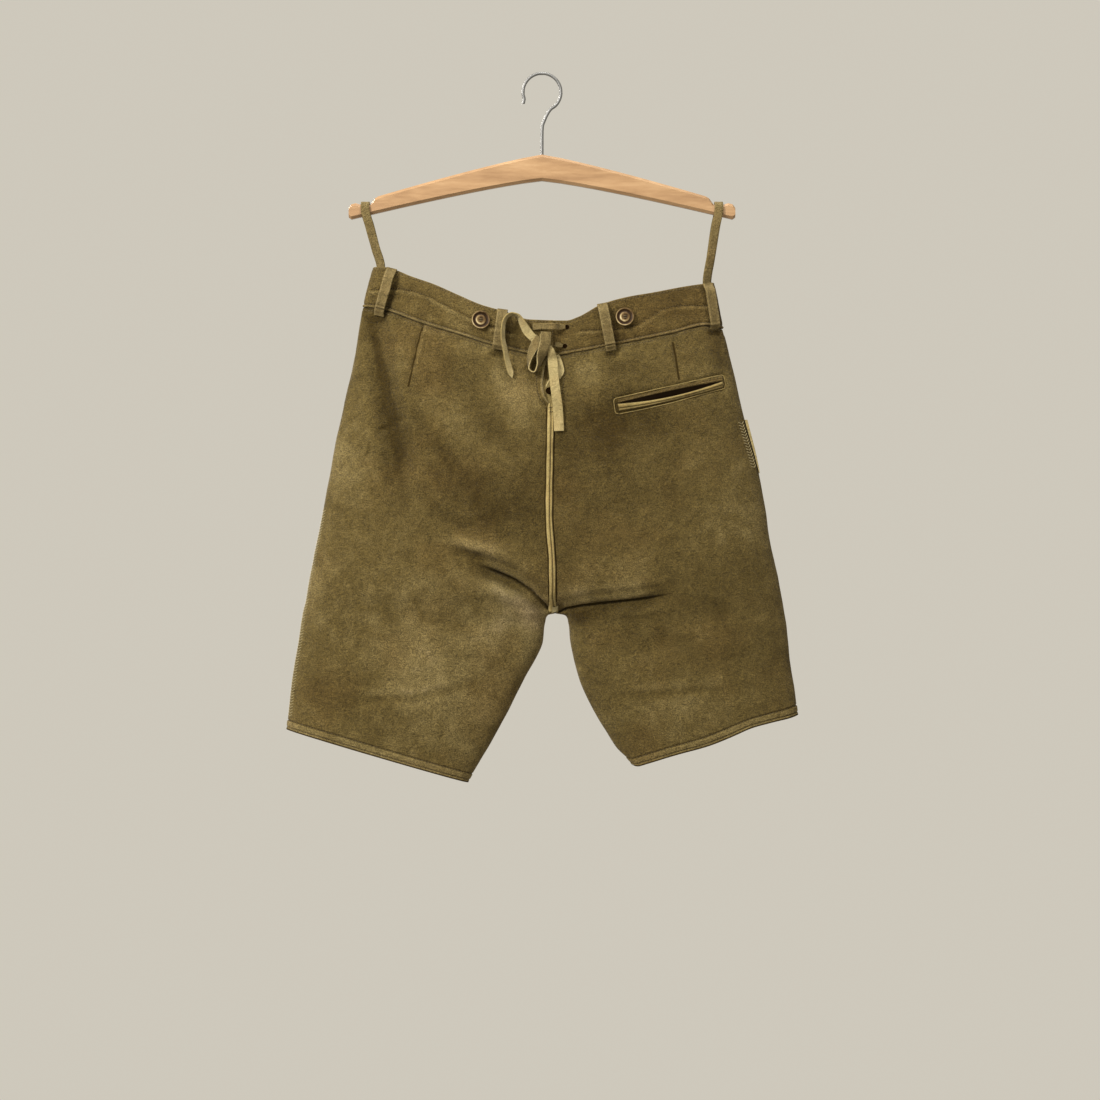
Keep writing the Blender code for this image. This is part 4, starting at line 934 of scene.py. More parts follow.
def cut_band(half, face, columns):
    u = shares_across([0, 0.002, 0.005, 0.010, 0.016], 0.024, columns)
    tall = apart(band_form(half, face, u, u * 0 + 1), band_form(half, face, u, u * 0))
    low = np.array(FROM_SEAM)[:, None] / tall
    high = 1 - np.array(UNDER_EDGE)[:, None] / tall
    between = low[-1:] + (high[:1] - low[-1:]) * np.linspace(0, 1, BAND_ROWS)[1:-1, None]
    height = np.concatenate([low, between, high])
    grid = band_form(half, face, np.broadcast_to(u, height.shape), height)
    above, below = edge_distances(height.shape, FROM_SEAM, UNDER_EDGE)

    x, drop, out = grid[..., 0], -grid[..., 2], outward(grid, face)
    routes = MIDDLE_LINES[face]
    lines = [Fold(1.1, 1.1, 1, 1, route) for route in routes]
    ridges = [Fold(2.2, 0.8, 1, 1, [(at, low + 3.0) for at, low in route]) for route in routes]
    pressed_and_shaded = fold_depth(lines, x, drop) - fold_depth(ridges, x, drop)
    seams = 0.8 * hump(above, BAND_SEAM, 0.8) + 0.4 * hump(below, BAND_EDGE, 0.7)
    waves = uneven(grid, 30.0) * 0.7 + uneven(grid, 9.0) * 0.22
    puckers = 0.25 * np.sin(x / 2.3 + 2 * np.sin(x / 13.0)) * hump(height, 0.1, 0.16)
    push = BAND_PROUD + waves + puckers - seams - pressed_and_shaded
    push = push + 0.7 * hump(above, BAND_ROLL, 1.4) - 0.35 * hump(above + below, FAR, 9.0)
    # Painted shade: darker along the seams and the pressed middle lines and beside the belt loops; the
    # puckers' ridges are painted paler as light. The cut edges are rubbed pale, the rolled lower edge is
    # paler, and the band is lighter to the left and darker at its top right.
    worn = 0.14 * waves + 0.3 * puckers - 0.5 * seams + 0.45 * np.exp(-from_edge(grid) / 1.0) - 0.4 * pressed_and_shaded
    worn = worn + 0.40 * hump(above, BAND_ROLL, 1.1)
    worn = worn + 0.12 * hump(x, -110, 70) - 0.30 * height * hump(x, 160, 60)
    worn = worn - painted_loop_shadow(face, x, drop)
    top_seam = len(grid) - len(UNDER_EDGE) + UNDER_EDGE.index(BAND_EDGE)
    return Cloth(grid + out * push[..., None], out, worn, np.full(height.shape, BAND), top_seam,
                 FROM_SEAM.index(BAND_SEAM), None)


for half in (LEFT, RIGHT):
    for face in (BACK, FRONT):
        cut_out(f"waistband_{face}_{half}", cut_band(half, face, BAND_COLUMNS), BAND_LEATHER)

# %% [markdown]
# ## Touching the leather
#
# Buttons, straps, lace and seams lie on the finished surface. Their places could be typed in as
# three numbers each, and would then float or sink wherever the leather moves. It is safer to shoot a
# ray at the surface from straight behind or in front, and to ask which way the leather faces there.

# %% A place on the leather


def surface_of(face):
    vertices, directions, faces = [], [], []
    for name, cloth in cloths.items():
        if face in name:
            faces += grid_faces(*cloth.grid.shape[:2], len(vertices))
            vertices += cloth.grid.reshape(-1, 3).tolist()
            directions += cloth.out.reshape(-1, 3).tolist()
    return BVHTree.FromPolygons(vertices, faces), np.array(directions), faces


SURFACES = {face: surface_of(face) for face in (BACK, FRONT)}


EYE_AWAY, HALF_DEEP = 200.0, 24.0


def touch(face, x, drop):
    """The point of the leather that is seen squarely at a place, and the direction out of it."""
    tree, directions, faces = SURFACES[face]
    eye = Vector((x, SIGN[face] * EYE_AWAY, -drop))
    hit, _, index, _ = tree.ray_cast(eye, Vector((0.0, -SIGN[face], 0.0)))
    if hit is None:                      # the ray missed, as it does at the gap between two panels
        hit, _, index, _ = tree.find_nearest(Vector((x, SIGN[face] * HALF_DEEP, -drop)))
        hit = Vector((x, hit.y, -drop))
    return np.array(hit), unit(directions[list(faces[index])].mean(axis=0))


def touch_all(face, places):
    found = [touch(face, x, drop) for x, drop in places]
    return np.array([point for point, _ in found]), np.array([out for _, out in found])


print("seat at the middle:", np.round(touch(BACK, -40, 480)[0], 1))

# %% [markdown]
# ## Sheets of cloth
#
# The pocket's slit is cut through the panel with a block of its own form. Each panel was cut flat from
# a hide. Its cut size is listed as the width and length of the hide that it took, and the area of the
# shaped piece is added up from its own grid and printed beside it.

# %% The pocket's slit
SLIT_LEFT, SLIT_RIGHT, SLIT_OPEN = (85.6, 379.4), (206.0, 353.4), 6.6
SLIT_SAG, SLIT_STEPS = 1.9, 25
CUT_FROM = (-60.0, -6.0)     # through the back panel, and not through the front one
SLIT_RUN = unit(np.array(SLIT_RIGHT) - np.array(SLIT_LEFT))
SLIT_DOWN = np.array([-SLIT_RUN[1], SLIT_RUN[0]])


def slit_line(t):
    """A place on the slit's middle line, and how far it gapes to each side there."""
    place = np.array(SLIT_LEFT) * (1 - t) + np.array(SLIT_RIGHT) * t
    bow = math.sin(math.pi * t)
    return place + SLIT_DOWN * SLIT_SAG * bow, SLIT_OPEN / 2 * bow**0.8


outline = []
for edge, first, last in ((1, 0.01, 0.99), (-1, 0.99, 0.01)):
    for t in np.linspace(first, last, SLIT_STEPS):
        place, gape = slit_line(t)
        outline.append(place + edge * SLIT_DOWN * gape)
block = [(x, y, -drop) for y in CUT_FROM for x, drop in outline]
slit_block = turn_out(add_mesh("slit_block", block, tube_faces(2, len(outline)), [CUT_EDGE]))
seat = pieces["back_right"]
cut = seat.modifiers.new("slit", "BOOLEAN")
cut.operation, cut.object, cut.solver = "DIFFERENCE", slit_block, "EXACT"
bpy.context.view_layer.update()
opened = bpy.data.meshes.new_from_object(seat.evaluated_get(bpy.context.evaluated_depsgraph_get()))
seat.modifiers.clear()
seat.data = opened
bpy.data.objects.remove(slit_block)
print("back_right after the slit:", len(opened.polygons), "faces")

# %% Sheets


def area_of(grid):
    """The area of a grid in square metres."""
    first = np.cross(grid[1:, 1:] - grid[:-1, :-1], grid[1:, :-1] - grid[:-1, 1:])
    return float(np.linalg.norm(first, axis=-1).sum() / 2 * MM * MM)


FLAT_CUTS = {
    "back_left": (0.335, 0.560), "back_right": (0.320, 0.520),
    "front_left": (0.330, 0.560), "front_right": (0.315, 0.520),
    "waistband_back_left": (0.240, 0.070), "waistband_back_right": (0.225, 0.070),
    "waistband_front_left": (0.235, 0.070), "waistband_front_right": (0.215, 0.070),
}
for name, flat in FLAT_CUTS.items():
    band = "waistband" in name
    dress(pieces[name], "leather", name)
    held_by = ["hanging_loop_left", "hanging_loop_right"] if band else ["waistband_" + name]
    area_of(cloths[name].grid)
    print(name, f"{area_of(cloths[name].grid):.4f} m2 of {flat[0] * flat[1]:.4f} m2")

# %% [markdown]
# ## Straps and lace
#
# Belt loops, hanging loops and the lace are strips cut from the same leather. A curve with a flat
# profile would twist where it likes. A row of cross sections, each with its own width and direction,
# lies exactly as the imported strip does. The cut sides are paler than the faces.

# %% A strap
STRAP_PROFILE = [
    (-0.94, 0.0), (0.0, 0.04), (0.94, 0.0), (1.0, 0.25), (1.0, 0.75), (0.94, 1.0),
    (0.5, 1.03), (0.0, 0.97), (-0.5, 1.03), (-0.94, 1.0), (-1.0, 0.75), (-1.0, 0.25),
]


def strap(name, centres, sides, outs, widths, thicks, finishes, worn=0.0, profile=STRAP_PROFILE):
    """A strip through its back face's middle points, with rounded cut sides."""
    vertices, steps, count = [], len(centres), len(profile)
    widths, thicks = np.broadcast_to(widths, steps), np.broadcast_to(thicks, steps)
    for centre, side, out, width, thick in zip(centres, sides, outs, widths, thicks):
        vertices += [centre + side * (s * width / 2) + out * (h * thick) for s, h in profile]
    around = [int(i in (2, 3, 4, count - 3, count - 2, count - 1)) for i in range(count)]
    slots = [1, 1] + around * (steps - 1)
    faces = tube_faces(steps, count)
    made = add_mesh(name, vertices, faces, finishes, slots, np.resize(worn, len(vertices)))
    return turn_out(made)


def resample(arrays, count):
    """Smoothly spreads rows of values over count even steps along the first array's path."""
    path = np.asarray(arrays[0], float)
    run = run_of(path)
    at = np.linspace(0, run[-1], count)
    found = []
    for values in arrays:
        values = np.asarray(values, float).reshape(len(path), -1)
        found.append(np.stack([flowing(run, values[:, k], at) for k in range(values.shape[1])], axis=-1))
    return found, float(run[-1])


# %% [markdown]
# The lace is 11 mm wide and flat. It crosses the gap of the waistband twice, is tied in a half bow and
# ends in two free tails. Each tail is a real cord with a known length, which is printed. The
# table gives where each pass is seen, how far it is lifted off the leather, its width and its turn.

# %% Lace
LACE_THICK = 1.3
Pass = namedtuple("Pass", "x drop lift width turn")
LACE = {
    "lace_run_upper": [Pass(-10, 292, 1.6, 7, 0), Pass(0, 291.6, 4.6, 7, 0), Pass(12, 291.6, 5.0, 7, 0),
                       Pass(21, 291.6, 2.2, 6.4, 0), Pass(26.4, 291.6, 0.9, 4, 0)],
    "lace_run_lower": [Pass(15, 311.4, 3.6, 5, 0), Pass(19, 312.4, 2.6, 5.4, 0),
                       Pass(23.2, 313.2, 0.9, 3.6, 0)],
    "lace_end_left": [
        Pass(-8.5, 306, 2.0, 9, 0), Pass(-16, 298, 3.2, 10, 5), Pass(-22, 287, 6.0, 9.5, 40),
        Pass(-27, 279, 8.5, 8.5, 65), Pass(-34, 277, 10.0, 8, 70), Pass(-41, 281, 11.5, 8, 66),
        Pass(-44.5, 291, 12.0, 8, 60), Pass(-45, 304, 12.0, 8, 56), Pass(-42.5, 318, 10.5, 8, 50),
        Pass(-39.5, 332, 6.5, 8, 40), Pass(-36, 344, 4.0, 7, 24), Pass(-34.4, 350, 3.2, 1.6, 20),
    ],
    "lace_end_right": [
        Pass(9.0, 314, 2.4, 3.5, 0), Pass(10.6, 320, 4.0, 8, 0), Pass(11.8, 328, 4.8, 10.5, 0),
        Pass(12.8, 338, 4.4, 11.5, 0),
        Pass(14, 352, 3.0, 11, 0), Pass(16, 368, 2.4, 11, 0), Pass(18, 385, 2.2, 11.5, 0),
        Pass(19, 400, 2.2, 11.5, 0), Pass(19.5, 411, 2.2, 11.5, 0),
    ],
    "lace_bow": [
        Pass(4.5, 298, 7.8, 11, 0), Pass(4.0, 308, 8.0, 12.5, 8), Pass(1.0, 319, 8.2, 12, 22),
        Pass(-2.6, 329, 8.2, 10.5, 45), Pass(-5.6, 338, 8.2, 9, 76), Pass(-9.5, 343.5, 8.2, 9, 90),
        Pass(-14, 340, 8.2, 9, 90), Pass(-14.2, 332, 8.0, 9.5, 66), Pass(-11.4, 321, 7.2, 10.5, 36),
        Pass(-7, 312, 6.4, 11, 16), Pass(-2, 304, 6.0, 10.5, 6),
    ],
    "lace_bow_ear": [
        Pass(17, 324, 0.7, 5, 0), Pass(20, 333, 0.7, 7, 0), Pass(22, 342, 0.7, 7, 0),
        Pass(19, 351, 0.7, 4, 0),
    ],
}
PALE_LACES = ["lace_end_left", "lace_end_right", "lace_bow_ear"]


def lace(name, route):
    back = np.array([0.0, -1.0, 0.0])
    over = np.array([touch(BACK, at.x, at.drop)[0] + back * at.lift for at in route])
    widths, twists = [at.width for at in route], [at.turn for at in route]
    (middle, widths, twists), _ = resample([over, widths, twists], max(8, 5 * len(route)))
    sides, outs = [], []
    for run, turn in zip(unit(np.gradient(middle, axis=0)), np.radians(twists[:, 0])):
        flat = unit(np.cross(run, back))
        side = unit(flat * math.cos(turn) + back * math.sin(turn))
        side = unit(side - run * side.dot(run))
        sides.append(side)
        outs.append(np.cross(side, run))
    sides, outs = np.array(sides), np.array(outs)
    leather = PALE_LEATHER if name in PALE_LACES else STRAP_LEATHER
    edge = PALE_LEATHER if name == "lace_bow" else PIPING_LEATHER
    made = strap(name + "_leather", middle, sides, outs, widths[:, 0], LACE_THICK, [leather, edge], 0.1)
    return made, middle + outs * LACE_THICK / 2


for name, route in LACE.items():
    made, line = lace(name, route)
    dress(made, "pale_leather" if name in PALE_LACES else "leather", name)
    if name.startswith("lace_end"):
        length = float(apart(line[1:], line[:-1]).sum())
        widest = max(at.width for at in route)
        line[0] * MM
        widest * MM
        (line * MM).tolist()
        print(name, f"{length:.0f} mm long")

# %% Knot
KNOT_RINGS, KNOT_SIDES = 17, 20
KNOT_LEFT, KNOT_LONG, KNOT_DROP = -3.0, 10.5, 305.0
KNOT_DEEP, KNOT_TALL = 2.1, 5.5          # half its depth and half its height

vertices = []
for t in np.linspace(0, 1, KNOT_RINGS):
    base = touch(BACK, KNOT_LEFT + KNOT_LONG * t, KNOT_DROP)[0]
    swell = (0.72 + 0.28 * math.sin(math.pi * t)) * (1 + 0.05 * math.sin(t * 19))
    for angle in turns(KNOT_SIDES):
        away = 1.1 + KNOT_DEEP * (1 - swell * math.cos(angle))
        vertices.append(base + np.array([0.0, -away, KNOT_TALL * swell * math.sin(angle)]))
knot = add_mesh("lace_knot_leather", vertices, tube_faces(KNOT_RINGS, KNOT_SIDES), [STRAP_LEATHER], sharp=50)
dress(turn_out(knot), "leather", "lace_knot")

# %% [markdown]
# ## Belt loops and hanging loops
#
# A belt loop stands off the band so that a belt goes through. It is doubled leather with a row of
# stitches near each edge. A hanging loop is a longer strip, sewn inside the band at both ends.

# %% Belt loops
LOOP_WIDTH, LOOP_THICK, LOOP_CLEAR = 12.0, 1.8, 6.0
LOOP_SEWN = 3.9              # its stitches, from its middle line
LOOP_PROFILE = [
    (-0.9, 0.0), (0.0, 0.04), (0.9, 0.0), (1.0, 0.3), (1.0, 0.8), (0.93, 1.08), (0.78, 1.2), (0.6, 1.16),
    (0.35, 1.08), (0.0, 1.04), (-0.35, 1.08), (-0.6, 1.16), (-0.78, 1.2), (-0.93, 1.08), (-1.0, 0.8),
    (-1.0, 0.3),
]
LOOP_WORN = [0, 0, 0, -0.2, 0.0, 0.3, 0.35, 0.1, 0.05, 0.0, 0.05, 0.1, 0.35, 0.3, 0.0, -0.2]
loop_lines = {}
for name, (face, top, foot) in BELT_LOOPS.items():
    top, foot = np.array(top, float), np.array(foot, float)
    out = touch(face, *((top + foot) / 2))[1]
    run = unit([foot[0] - top[0], 0.0, top[1] - foot[1]])
    across = unit(np.cross(out, run))
    shares = np.concatenate([[0.0, 0.015], np.linspace(0.04, 0.96, 30), [0.985, 1.0]])
    points, outs = touch_all(face, [top + (foot - top) * t for t in shares])
    outs = unit(outs * 0.35 + out * 0.65)
    rise = (LOOP_CLEAR - 0.8) * np.minimum(ease(shares / 0.2), 0.25 + 0.75 * ease((1 - shares) / 0.09))
    centres = points + outs * (0.5 + rise)[:, None]
    sides = unit(np.cross(outs, np.cross(across, outs)))
    made = strap(name + "_leather", centres, sides, outs, LOOP_WIDTH, LOOP_THICK,
                 [STRAP_LEATHER, CUT_EDGE], LOOP_WORN, LOOP_PROFILE)
    dress(made, "leather", name)
    loop_lines[name] = (centres + outs * LOOP_THICK, sides, outs)
print("belt loops:", len(loop_lines))

# %% Hanging loops
HANG_X, HANG_WIDTH, HANG_THICK = 203.0, 10.0, 1.6
ARM_THICK, ARM_FOOT = 12.0, 25.0
ARM_TOP = 92 + 58 * (HANG_X / 222) ** 1.15 + 5       # the hanger's arms slope down to their ends
ARM_GAP, ARCH_GAP, ARCH_RISE, ARCH_LOW = 1.3, 0.9, 7.0, 5.0
SEWN_AT = 0.17                                       # share of the way across the band
SEWN_DEEP = BAND_PROUD - BAND - HANG_THICK - 2.2     # inside the band, seen from the leather's form
LEANS = {LEFT: 5.0, RIGHT: -3.5}                     # how far a loop's lower part leans along X


def on_band(half, face, height, u=SEWN_AT):
    return band_form(half, face, np.array(u), np.array(height))


def band_direction(half, face, height):
    across = on_band(half, face, height, SEWN_AT + 0.012) - on_band(half, face, height, SEWN_AT - 0.012)
    out = unit(np.cross(across, on_band(half, face, height + 0.05) - on_band(half, face, height - 0.05)))
    return out if out[1] * SIGN[face] > 0 else -out


for half in (LEFT, RIGHT):
    sewn_out, strand = {}, {}
    over = np.array([-TOWARD[half] * HANG_X, 0.0, -ARM_TOP])
    for face in (BACK, FRONT):
        low, high = [on_band(half, face, height) + band_direction(half, face, height) * SEWN_DEEP
                     for height in (0.55, 1.0)]
        beside = over + np.array([LEANS[half], SIGN[face] * (ARM_THICK / 2 + ARM_GAP), -ARM_FOOT])
        strand[face] = [low, high, (high + beside) / 2, beside]
        sewn_out[face] = band_direction(half, face, 0.8)
    reach = ARM_THICK / 2 + ARCH_GAP
    arch = [over + np.array([0.0, -reach * math.cos(angle), ARCH_RISE * math.sin(angle) - ARCH_LOW])
            for angle in np.linspace(0, math.pi, 7)]
    path = np.array(strand[BACK] + arch + strand[FRONT][::-1])
    last = len(path) - 1
    outs, sides = [], []
    for i in range(len(path)):
        run = unit(path[min(i + 1, last)] - path[max(i - 1, 0)])
        turn = float(ease((min(i, last - i) - 1) / 2))
        sewn = sewn_out[BACK if i <= last / 2 else FRONT]
        out = unit(sewn * (1 - turn) + unit(np.cross([1.0, 0, 0], run)) * turn)
        sides.append(unit(np.cross(run, out)))
        outs.append(unit(np.cross(sides[-1], run)))
    (path, sides, outs), length = resample([path, sides, outs], 90)
    name = f"hanging_loop_{half}"
    made = strap(name + "_leather", path, unit(sides), unit(outs), HANG_WIDTH, HANG_THICK,
                 [STRAP_LEATHER, CUT_EDGE], 0.05)
    dress(made, "leather", name)
    print(name, f"{length:.0f} mm round")

# %% [markdown]
# ## Pieces laid on and under the panels
#
# The drop flap in front, the underlay of the vent and the pocket's bag are flat pieces that follow the
# panels. Each is a grid between four corners, put down point by point, then smoothed a little,
# because a second layer of leather bridges the small dents of the first.

# %% A laid piece


def laid(name, piece):
    corners, (columns, rows) = np.array(piece.corners), piece.cells
    a, b = np.meshgrid(np.linspace(0, 1, columns + 1), np.linspace(0, 1, rows + 1))
    a, b = a[..., None], b[..., None]
    top, foot = corners[0] * (1 - a) + corners[1] * a, corners[3] * (1 - a) + corners[2] * a
    points, outs = touch_all(piece.face, (top * (1 - b) + foot * b).reshape(-1, 2))
    points, outs = points.reshape(rows + 1, columns + 1, 3), outs.reshape(rows + 1, columns + 1, 3)
    for _ in range(piece.smooth):
        for grid in (points, outs):
            beside = grid[2:, 1:-1] + grid[:-2, 1:-1] + grid[1:-1, 2:] + grid[1:-1, :-2]
            grid[1:-1, 1:-1] = (grid[1:-1, 1:-1] * 2 + beside) / 6
    outs = unit(outs)
    sag = piece.sag * (np.sin(math.pi * a) * np.sqrt(np.sin(math.pi * b).clip(0)))
    grid = points + outs * (piece.lift + piece.thick + sag)
    worn = 0.45 * np.exp(-from_edge(grid) / 1.5) + uneven(grid, 40.0) * 0.1
    made = shell(name, grid, outs, piece.thick, [piece.finish, CUT_EDGE], worn)
    return made, Cloth(grid, outs, worn, piece.thick, None, None, None)


Laid = namedtuple("Laid", "face corners cells lift thick finish smooth sag flat rests_on")
LAID = {
    "front_flap": Laid(
        FRONT, [(-80, 284), (100, 283), (88, 455), (-66, 455)], (60, 60), 0.5, 2.0, PANEL_LEATHER, 12,
        0.0, (0.182, 0.175), ["front_left", "front_right"],
    ),
    "vent_gusset": Laid(
        BACK, [(-24, 331), (44, 328), (34, 398), (-16, 398)], (24, 24), -LEATHER - 1.9, 1.2, PIPING_LEATHER,
        20, 0.0, (0.070, 0.072), ["back_left", "back_right"],
    ),
    "pocket_bag": Laid(
        BACK, [(92, 368), (203, 341), (206, 414), (95, 444)], (30, 24), -LEATHER - 2.0, 1.2, LINING_IN_PAINTED_SHADE, 12,
        -8.0, (0.116, 0.105), ["back_right"],
    ),
}
laid_cloths = {}
for name, piece in LAID.items():
    made, laid_cloths[name] = laid(name + "_leather", piece)
    dress(made, "leather", name)
    area = area_of(laid_cloths[name].grid)
    print(name, f"{area:.4f} m2 of {piece.flat[0] * piece.flat[1]:.4f} m2")

# %% [markdown]
# ## The strip down the back, the pocket's welts and the knife pocket
#
# A folded strip of pale leather covers the centre-back seam, with a ridge at each side and a line of
# stitches between. The welts are rolls of leather round the pocket's slit. Both are low mouldings, so each
# is a grid with its own cross profile, laid on the panel.

# %% A moulding along a line


def moulding(name, face, lines, heights, thick, finishes, worn):
    """lines is a list of places for each step along; heights gives the profile above the leather."""
    points, outs = touch_all(face, np.array(lines).reshape(-1, 2))
    shape = (len(lines), len(heights), 3)
    points, outs = points.reshape(shape), outs.reshape(shape)
    for _ in range(4):
        points[1:-1] = (points[1:-1] * 2 + points[2:] + points[:-2]) / 4
    outs = unit(outs * 0.3 + outs.mean(axis=1, keepdims=True) * 0.7)
    grid = points + outs * np.asarray(heights)[None, :, None]
    return shell(name, grid, outs, thick, finishes, np.broadcast_to(worn, grid.shape[:2]).copy())


SEAM_DROPS = [section.inner_left_drop for section in SECTIONS[:7]]
SEAM_X = [section.inner_left for section in SECTIONS[:7]]
STRIP_ACROSS = np.array([-3.9, -3.5, -2.7, -1.6, -0.6, 0.2, 0.7, 1.0, 1.7, 2.7, 3.5, 3.9])
STRIP_HEIGHTS = [0.5, 1.7, 2.3, 2.4, 2.2, 1.6, 1.0, 1.3, 1.9, 2.1, 1.6, 0.5]
# Across the strip: its ridges are rubbed pale, and its middle groove and outer edges are painted dark as
# shade.
STRIP_WEAR_AND_SHADE = [-0.5, 0.3, 0.45, 0.45, 0.3, -0.2, -1.0, -0.4, 0.15, 0.25, 0.1, -0.6]
STRIP_TOP, STRIP_FOOT = 379.5, 617.0


def strip_x(drop):
    """The strip wanders a little, and its foot is pulled to the left."""
    x = float(flowing(SEAM_DROPS, SEAM_X, drop)) + 0.5 * math.sin(drop / 21.0)
    return x - 2.2 * float(ease((drop - 550) / 50)) + float(ease((drop - 608) / 5))


strip_lines = []
for drop in np.linspace(STRIP_TOP, STRIP_FOOT, 130):
    x = strip_x(drop)
    narrow = 1.0 - 0.12 * math.sin(drop / 13.0) ** 2 + 0.75 * ease((drop - 609) / 4)
    narrow *= math.sqrt(max(0.15, 1 - max(0.0, (385 - drop) / 6.5) ** 2 - max(0.0, (drop - 614) / 5.0) ** 2))
    strip_lines.append([(x + off * narrow, drop) for off in STRIP_ACROSS])
strip = moulding("centre_back_strip_leather", BACK, strip_lines, STRIP_HEIGHTS, 0.6,
                 [PIPING_LEATHER, PALE_LEATHER], STRIP_WEAR_AND_SHADE)
dress(strip, "pale_leather", "centre_back_strip")

Welt = namedtuple("Welt", "start end edge sag leather worn")
# The last field: lips rubbed pale, and hollows and outer edges painted dark as shade.
WELTS = {
    "welt_upper": Welt((86.2, 375.4), (206.2, 348.2), -1, 0.0, BAND_LEATHER,
                       [0.6, 0.4, 0.15, 0.1, 0.0, -0.3, 0.0, -0.1, -0.7]),
    "welt_lower": Welt((87.6, 388.2), (206.8, 360.2), 1, 2.0, PIPING_LEATHER,
                       [-0.15, 0.0, 0.0, -0.1, -0.3, -1.0, -0.1, 0.0, -0.8]),
}
WELT_ACROSS = [0.04, 0.12, 0.28, 0.44, 0.56, 0.64, 0.74, 0.88, 1]        # shares of the way from the slit
WELT_HEIGHTS = [0.8, 1.6, 2.0, 2.0, 1.6, 0.7, 1.3, 1.2, 0.3]
for name, welt in WELTS.items():
    lines = []
    for t in np.linspace(0.005, 0.995, 70):
        place, gape = slit_line(t)
        inner = place + SLIT_DOWN * (gape * welt.edge)
        outer = np.array(welt.start) * (1 - t) + np.array(welt.end) * t
        outer = outer + [0.0, welt.sag * math.sin(math.pi * t)]
        lines.append([inner + (outer - inner) * share for share in WELT_ACROSS])
    made = moulding(name + "_leather", BACK, lines, WELT_HEIGHTS, 0.5, [welt.leather, CUT_EDGE], welt.worn)
    dress(made, "leather", name)

KNIFE_TOP, KNIFE_FOOT, KNIFE_STEPS, KNIFE_WIDTH = 397, 458, 40, 14.0
drops = np.linspace(KNIFE_TOP, KNIFE_FOOT, KNIFE_STEPS)
rows = np.interp(drops, column("right_drop", np.arange(LAST_ROW + 1)), np.arange(LAST_ROW + 1))
rise = 2.1 * (1 - ((drops - KNIFE_TOP) / (KNIFE_FOOT - KNIFE_TOP)) ** 2)      # it stands out most at its top
centres = np.stack([column("right_x", rows) - 0.4, np.full(KNIFE_STEPS, -3.0), -drops], axis=-1)
along_y, along_x = [np.tile(way, (KNIFE_STEPS, 1)) for way in ([0.0, 1.0, 0.0], [1.0, 0.0, 0.0])]
knife = strap("knife_pocket_edge_leather", centres, along_y, along_x, KNIFE_WIDTH, 0.9 + rise,
              [STRAP_LEATHER, PALE_LEATHER], 0.1)
dress(knife, "pale_leather", "knife_pocket_edge")
print("mouldings done")

# %% [markdown]
# ## Horn buttons
#
# The brace buttons are turned from horn: a round rim, a groove, and a boss with four holes through
# which thread passes. Horn is streaky, half clear and polished by use. The profile is spun round its
# axis. The worn value is high on the rim and round the boss and low in the groove,
# and one side of each button is painted paler as a highlight.

# %% Horn
horn = Finish("turned horn", specular_ior_level=0.1)
streaks = horn.noise(260.0, 4.0, 0.6, stretch=(1.0, 1.0, 0.25), distortion=1.2)
tone = streaks * 0.62 + horn.attribute("worn") * 0.62
colour = horn.ramp(tone, (0.24, (0.014, 0.006, 0.001)), (0.52, (0.082, 0.049, 0.018)),
                   (0.76, (0.18, 0.128, 0.056)), (1.0, (0.40, 0.33, 0.19)))
HORN = horn.wear(base_color=colour, roughness=0.5, normal=horn.bump(streaks, 0.0008, 0.7))

BUTTON_PROFILE = [           # share of the radius, height, wear and painted shading
    (0.0, 0.0, 0.0), (0.70, 0.0, -0.3), (0.86, 0.5, -0.3), (0.96, 1.3, -0.2), (1.0, 2.1, 0.0),
    (0.985, 2.75, 0.3), (0.95, 3.15, 0.6), (0.90, 3.2, 0.55), (0.85, 2.8, 0.2), (0.80, 2.2, -0.1),
    (0.73, 1.8, -0.3), (0.64, 1.7, -0.3), (0.57, 1.85, 0.0), (0.52, 2.3, 0.5), (0.47, 2.65, 0.75),
    (0.40, 2.75, 0.5), (0.2, 2.45, 0.05), (0.0, 2.35, 0.0),
]
BUTTON_SIDES, BUTTON_BOSS = 56, 2.75
BUTTONS = {
    "brace_button_back_left": (BACK, -70, 284, 10.6, 0.0, (0.14, 0.10)),
    "brace_button_back_right": (BACK, 94.5, 280.5, 10.6, 0.0, (-0.02, 0.13)),
    "brace_button_front_left": (FRONT, -128, 263, 10.6, 0.0, (0.05, -0.06)),
    "brace_button_front_right": (FRONT, 149, 266, 10.6, 0.0, (-0.06, -0.05)),
    "flap_button_left": (FRONT, -66, 294, 9.0, 2.6, (0.03, -0.05)),
    "flap_button_right": (FRONT, 86, 293, 9.0, 2.6, (0.04, 0.05)),
}


def axes_at(out):
    right = unit(np.cross([0.0, 0.0, 1.0], out))
    return right, np.cross(out, right)


def spun(centre, out, profile, radius, sides):
    """Points and faces of a profile turned round its axis."""
    right, up = axes_at(out)
    around = np.cos(turns(sides))[:, None] * right + np.sin(turns(sides))[:, None] * up
    points = [centre + out * profile[0][1]]
    for share, height, *_ in profile[1:-1]:
        points += list(centre + around * share * radius + out * height)
    points.append(centre + out * profile[-1][1])
    faces, rings = [], len(profile) - 2
    for i in range(sides):
        j = (i + 1) % sides
        faces.append((0, 1 + j, 1 + i))
        faces.append((len(points) - 1, 1 + (rings - 1) * sides + i, 1 + (rings - 1) * sides + j))
        for k in range(rings - 1):
            a, b = 1 + k * sides, 1 + (k + 1) * sides
            faces.append((a + i, a + j, b + j, b + i))
    return points, faces


